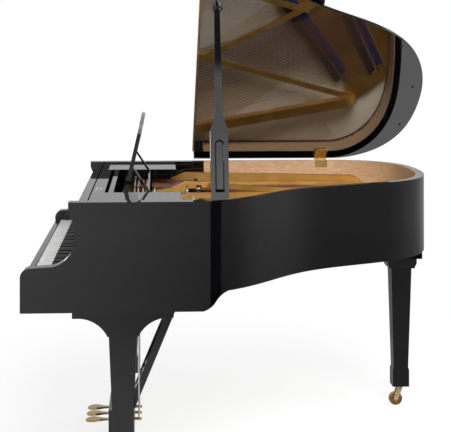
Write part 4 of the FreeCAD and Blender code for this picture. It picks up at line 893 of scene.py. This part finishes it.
studio = {"lamps": {"front": ((1.2, -4.6, 3.0), (0, 0, 0.8), 3.0, 90),  # place, aim, size and power
                    "over": ((0.5, -3.0, 3.7), (0.1, 0.3, 0.86), 2.6, 225),
                    "left": ((-2.8, -0.7, 3.0), (0.2, 0.2, 0.86), 1.8, 12),
                    "tail": ((4.0, -1.0, 2.6), (0.3, 0.2, 0.8), 2.4, 60)},
          "inMirrors": ("tail",),  # the lamps that reflections show
          "soft": 0.42, "wallStrength": 2.5,
          "walls": [(0.0, 0.4), (0.2, 0.42), (0.42, 0.55), (0.47, 0.95), (0.5, 0.85), (0.53, 0.62),
                    (0.572, 0.62), (0.576, 0.03), (1.0, 0.02)],  # painted reflection, seen only by glossy rays and lighting nothing: tone by height of the ray
          "depth": [(0.4, 1.0), (0.6, 0.55)]}  # the painted walls from front to back
paper = {"size": 60.0, "fibre": 12, "fibreColours": ("#f1f1f0", "#f4f4f3"), "shade": "#8a8a8a", "glow": 0.8,
         "fade": [(0.12, 0.0), (0.24, 1.0)],  # shadow to plain white, in tens of metres
         "mirrored": [(0.1, 0.57), (0.3, 0.53), (0.7, 0.88)],  # painted reflection, seen only by glossy rays: glowing tone by distance, in tens of metres
         "pivot": (0.1, 0.7, 0.0),  # from the waist of the case to the frame's origin
         "turned": [(0.444, 1.35), (0.475, 0.96), (0.508, 0.46), (0.513, 0.0), (0.63, 0.0), (0.645, 0.29),
                    (0.72, 0.29), (0.78, 0.42)],  # painted reflection: tone by bearing round the waist, a full turn from the back
         "close": [(0.22, 0.52), (0.25, 0.0)]}  # painted reflection: floor near the waist, in tens of metres


def mixShaders(tree, share, first, second):
    return addNode(tree, "ShaderNodeMixShader", in0=share, in1=first, in2=second).outputs[0]


def byRay(tree, plain, mirrored, looked):  # what lights the object, the painted reflection that mirrors show, what the eye sees
    path = addNode(tree, "ShaderNodeLightPath").outputs
    seen = calc(tree, "MAXIMUM", path["Is Camera Ray"], path["Is Transmission Ray"])
    return mixShaders(tree, seen, mixShaders(tree, path["Is Glossy Ray"], plain, mirrored), looked)


def tensAway(tree, coords):  # distance in tens of metres
    away = addNode(tree, "ShaderNodeVectorMath", {"operation": "LENGTH"}, in0=coords).outputs["Value"]
    return calc(tree, "MULTIPLY", away, 0.1)


def setWorld():
    # Plain soft white lights the object and plain white meets the eye. Glossy rays see painted walls instead,
    # bands of tone that light nothing: a painted reflection.
    world = bpy.data.worlds.new("studio")
    scene.world = world
    tree = emptyTree(world)
    coords = addNode(tree, "ShaderNodeTexCoord").outputs["Generated"]
    ray = addNode(tree, "ShaderNodeSeparateXYZ", Vector=coords).outputs
    depth = calc(tree, "MULTIPLY_ADD", ray["Y"], 0.5, 0.5)
    level = calc(tree, "MULTIPLY", ramp(tree, ray["Z"], studio["walls"]), ramp(tree, depth, studio["depth"]))
    soft = addNode(tree, "ShaderNodeBackground", {"Color": (1, 1, 1, 1), "Strength": studio["soft"]})
    walls = addNode(tree, "ShaderNodeBackground", {"Strength": studio["wallStrength"]}, Color=level)
    white = addNode(tree, "ShaderNodeBackground", {"Color": (1, 1, 1, 1), "Strength": 1.0})
    addNode(tree, "ShaderNodeOutputWorld",
            Surface=byRay(tree, soft.outputs[0], walls.outputs[0], white.outputs[0]))


def setFloor():
    # Seamless white paper: white to the eye, with a soft grey shadow under the legs. Glossy rays see a
    # painted reflection instead: glowing tones set by distance and by bearing round the case's waist.
    deselect()
    bpy.ops.mesh.primitive_plane_add(size=paper["size"], location=(0, 0, 0))
    floor = bpy.context.object
    floor.name = "floor"
    material = bpy.data.materials.new("white_paper_floor")
    tree = emptyTree(material)
    coords = addNode(tree, "ShaderNodeTexCoord").outputs["Object"]
    away = tensAway(tree, coords)
    fibre = spread(tree, noise(tree, coords, paper["fibre"], 3.0), paper["fibreColours"])
    plain = addNode(tree, "ShaderNodeBsdfDiffuse", Color=fibre)
    grey = addNode(tree, "ShaderNodeBsdfDiffuse", {"Color": linear(paper["shade"])})
    glow = addNode(tree, "ShaderNodeEmission", {"Strength": paper["glow"]})
    shaded = addNode(tree, "ShaderNodeAddShader", in0=grey.outputs[0], in1=glow.outputs[0])
    white = addNode(tree, "ShaderNodeEmission", {"Strength": 1.0})
    looked = mixShaders(tree, ramp(tree, away, paper["fade"]), shaded.outputs[0], white.outputs[0])
    # painted reflection for glossy rays: a glow by bearing round the waist and by distance, dark in one
    # sector
    waist = addNode(tree, "ShaderNodeMapping", {"Location": paper["pivot"]}, Vector=coords).outputs[0]
    place = addNode(tree, "ShaderNodeSeparateXYZ", Vector=waist).outputs
    bearing = calc(tree, "ARCTAN2", place["X"], calc(tree, "MULTIPLY", place["Y"], -1.0))
    turn = calc(tree, "MULTIPLY_ADD", bearing, 1 / math.tau, 0.5)
    zone = calc(tree, "MAXIMUM", ramp(tree, turn, paper["turned"]),
                ramp(tree, tensAway(tree, waist), paper["close"]))
    level = calc(tree, "MULTIPLY", ramp(tree, away, paper["mirrored"]), zone)
    mirrored = addNode(tree, "ShaderNodeEmission", {"Strength": 1.0}, Color=level)
    addNode(tree, "ShaderNodeOutputMaterial",
            Surface=byRay(tree, plain.outputs[0], mirrored.outputs[0], looked))
    floor.data.materials.append(material)


def setLamps():
    for name, (place, aim, size, power) in studio["lamps"].items():
        data = bpy.data.lights.new(name + "_softbox", "AREA")
        data.size = size
        data.energy = power
        lamp = bpy.data.objects.new(name + "_softbox", data)
        lamp.location = place
        lamp.rotation_euler = (Vector(aim) - Vector(place)).to_track_quat("-Z", "Y").to_euler()
        lamp.visible_glossy = name in studio["inMirrors"]
        scene.collection.objects.link(lamp)


setCamera()
setWorld()
setFloor()
setLamps()
scene.view_settings.view_transform = "Standard"
print("studio set")
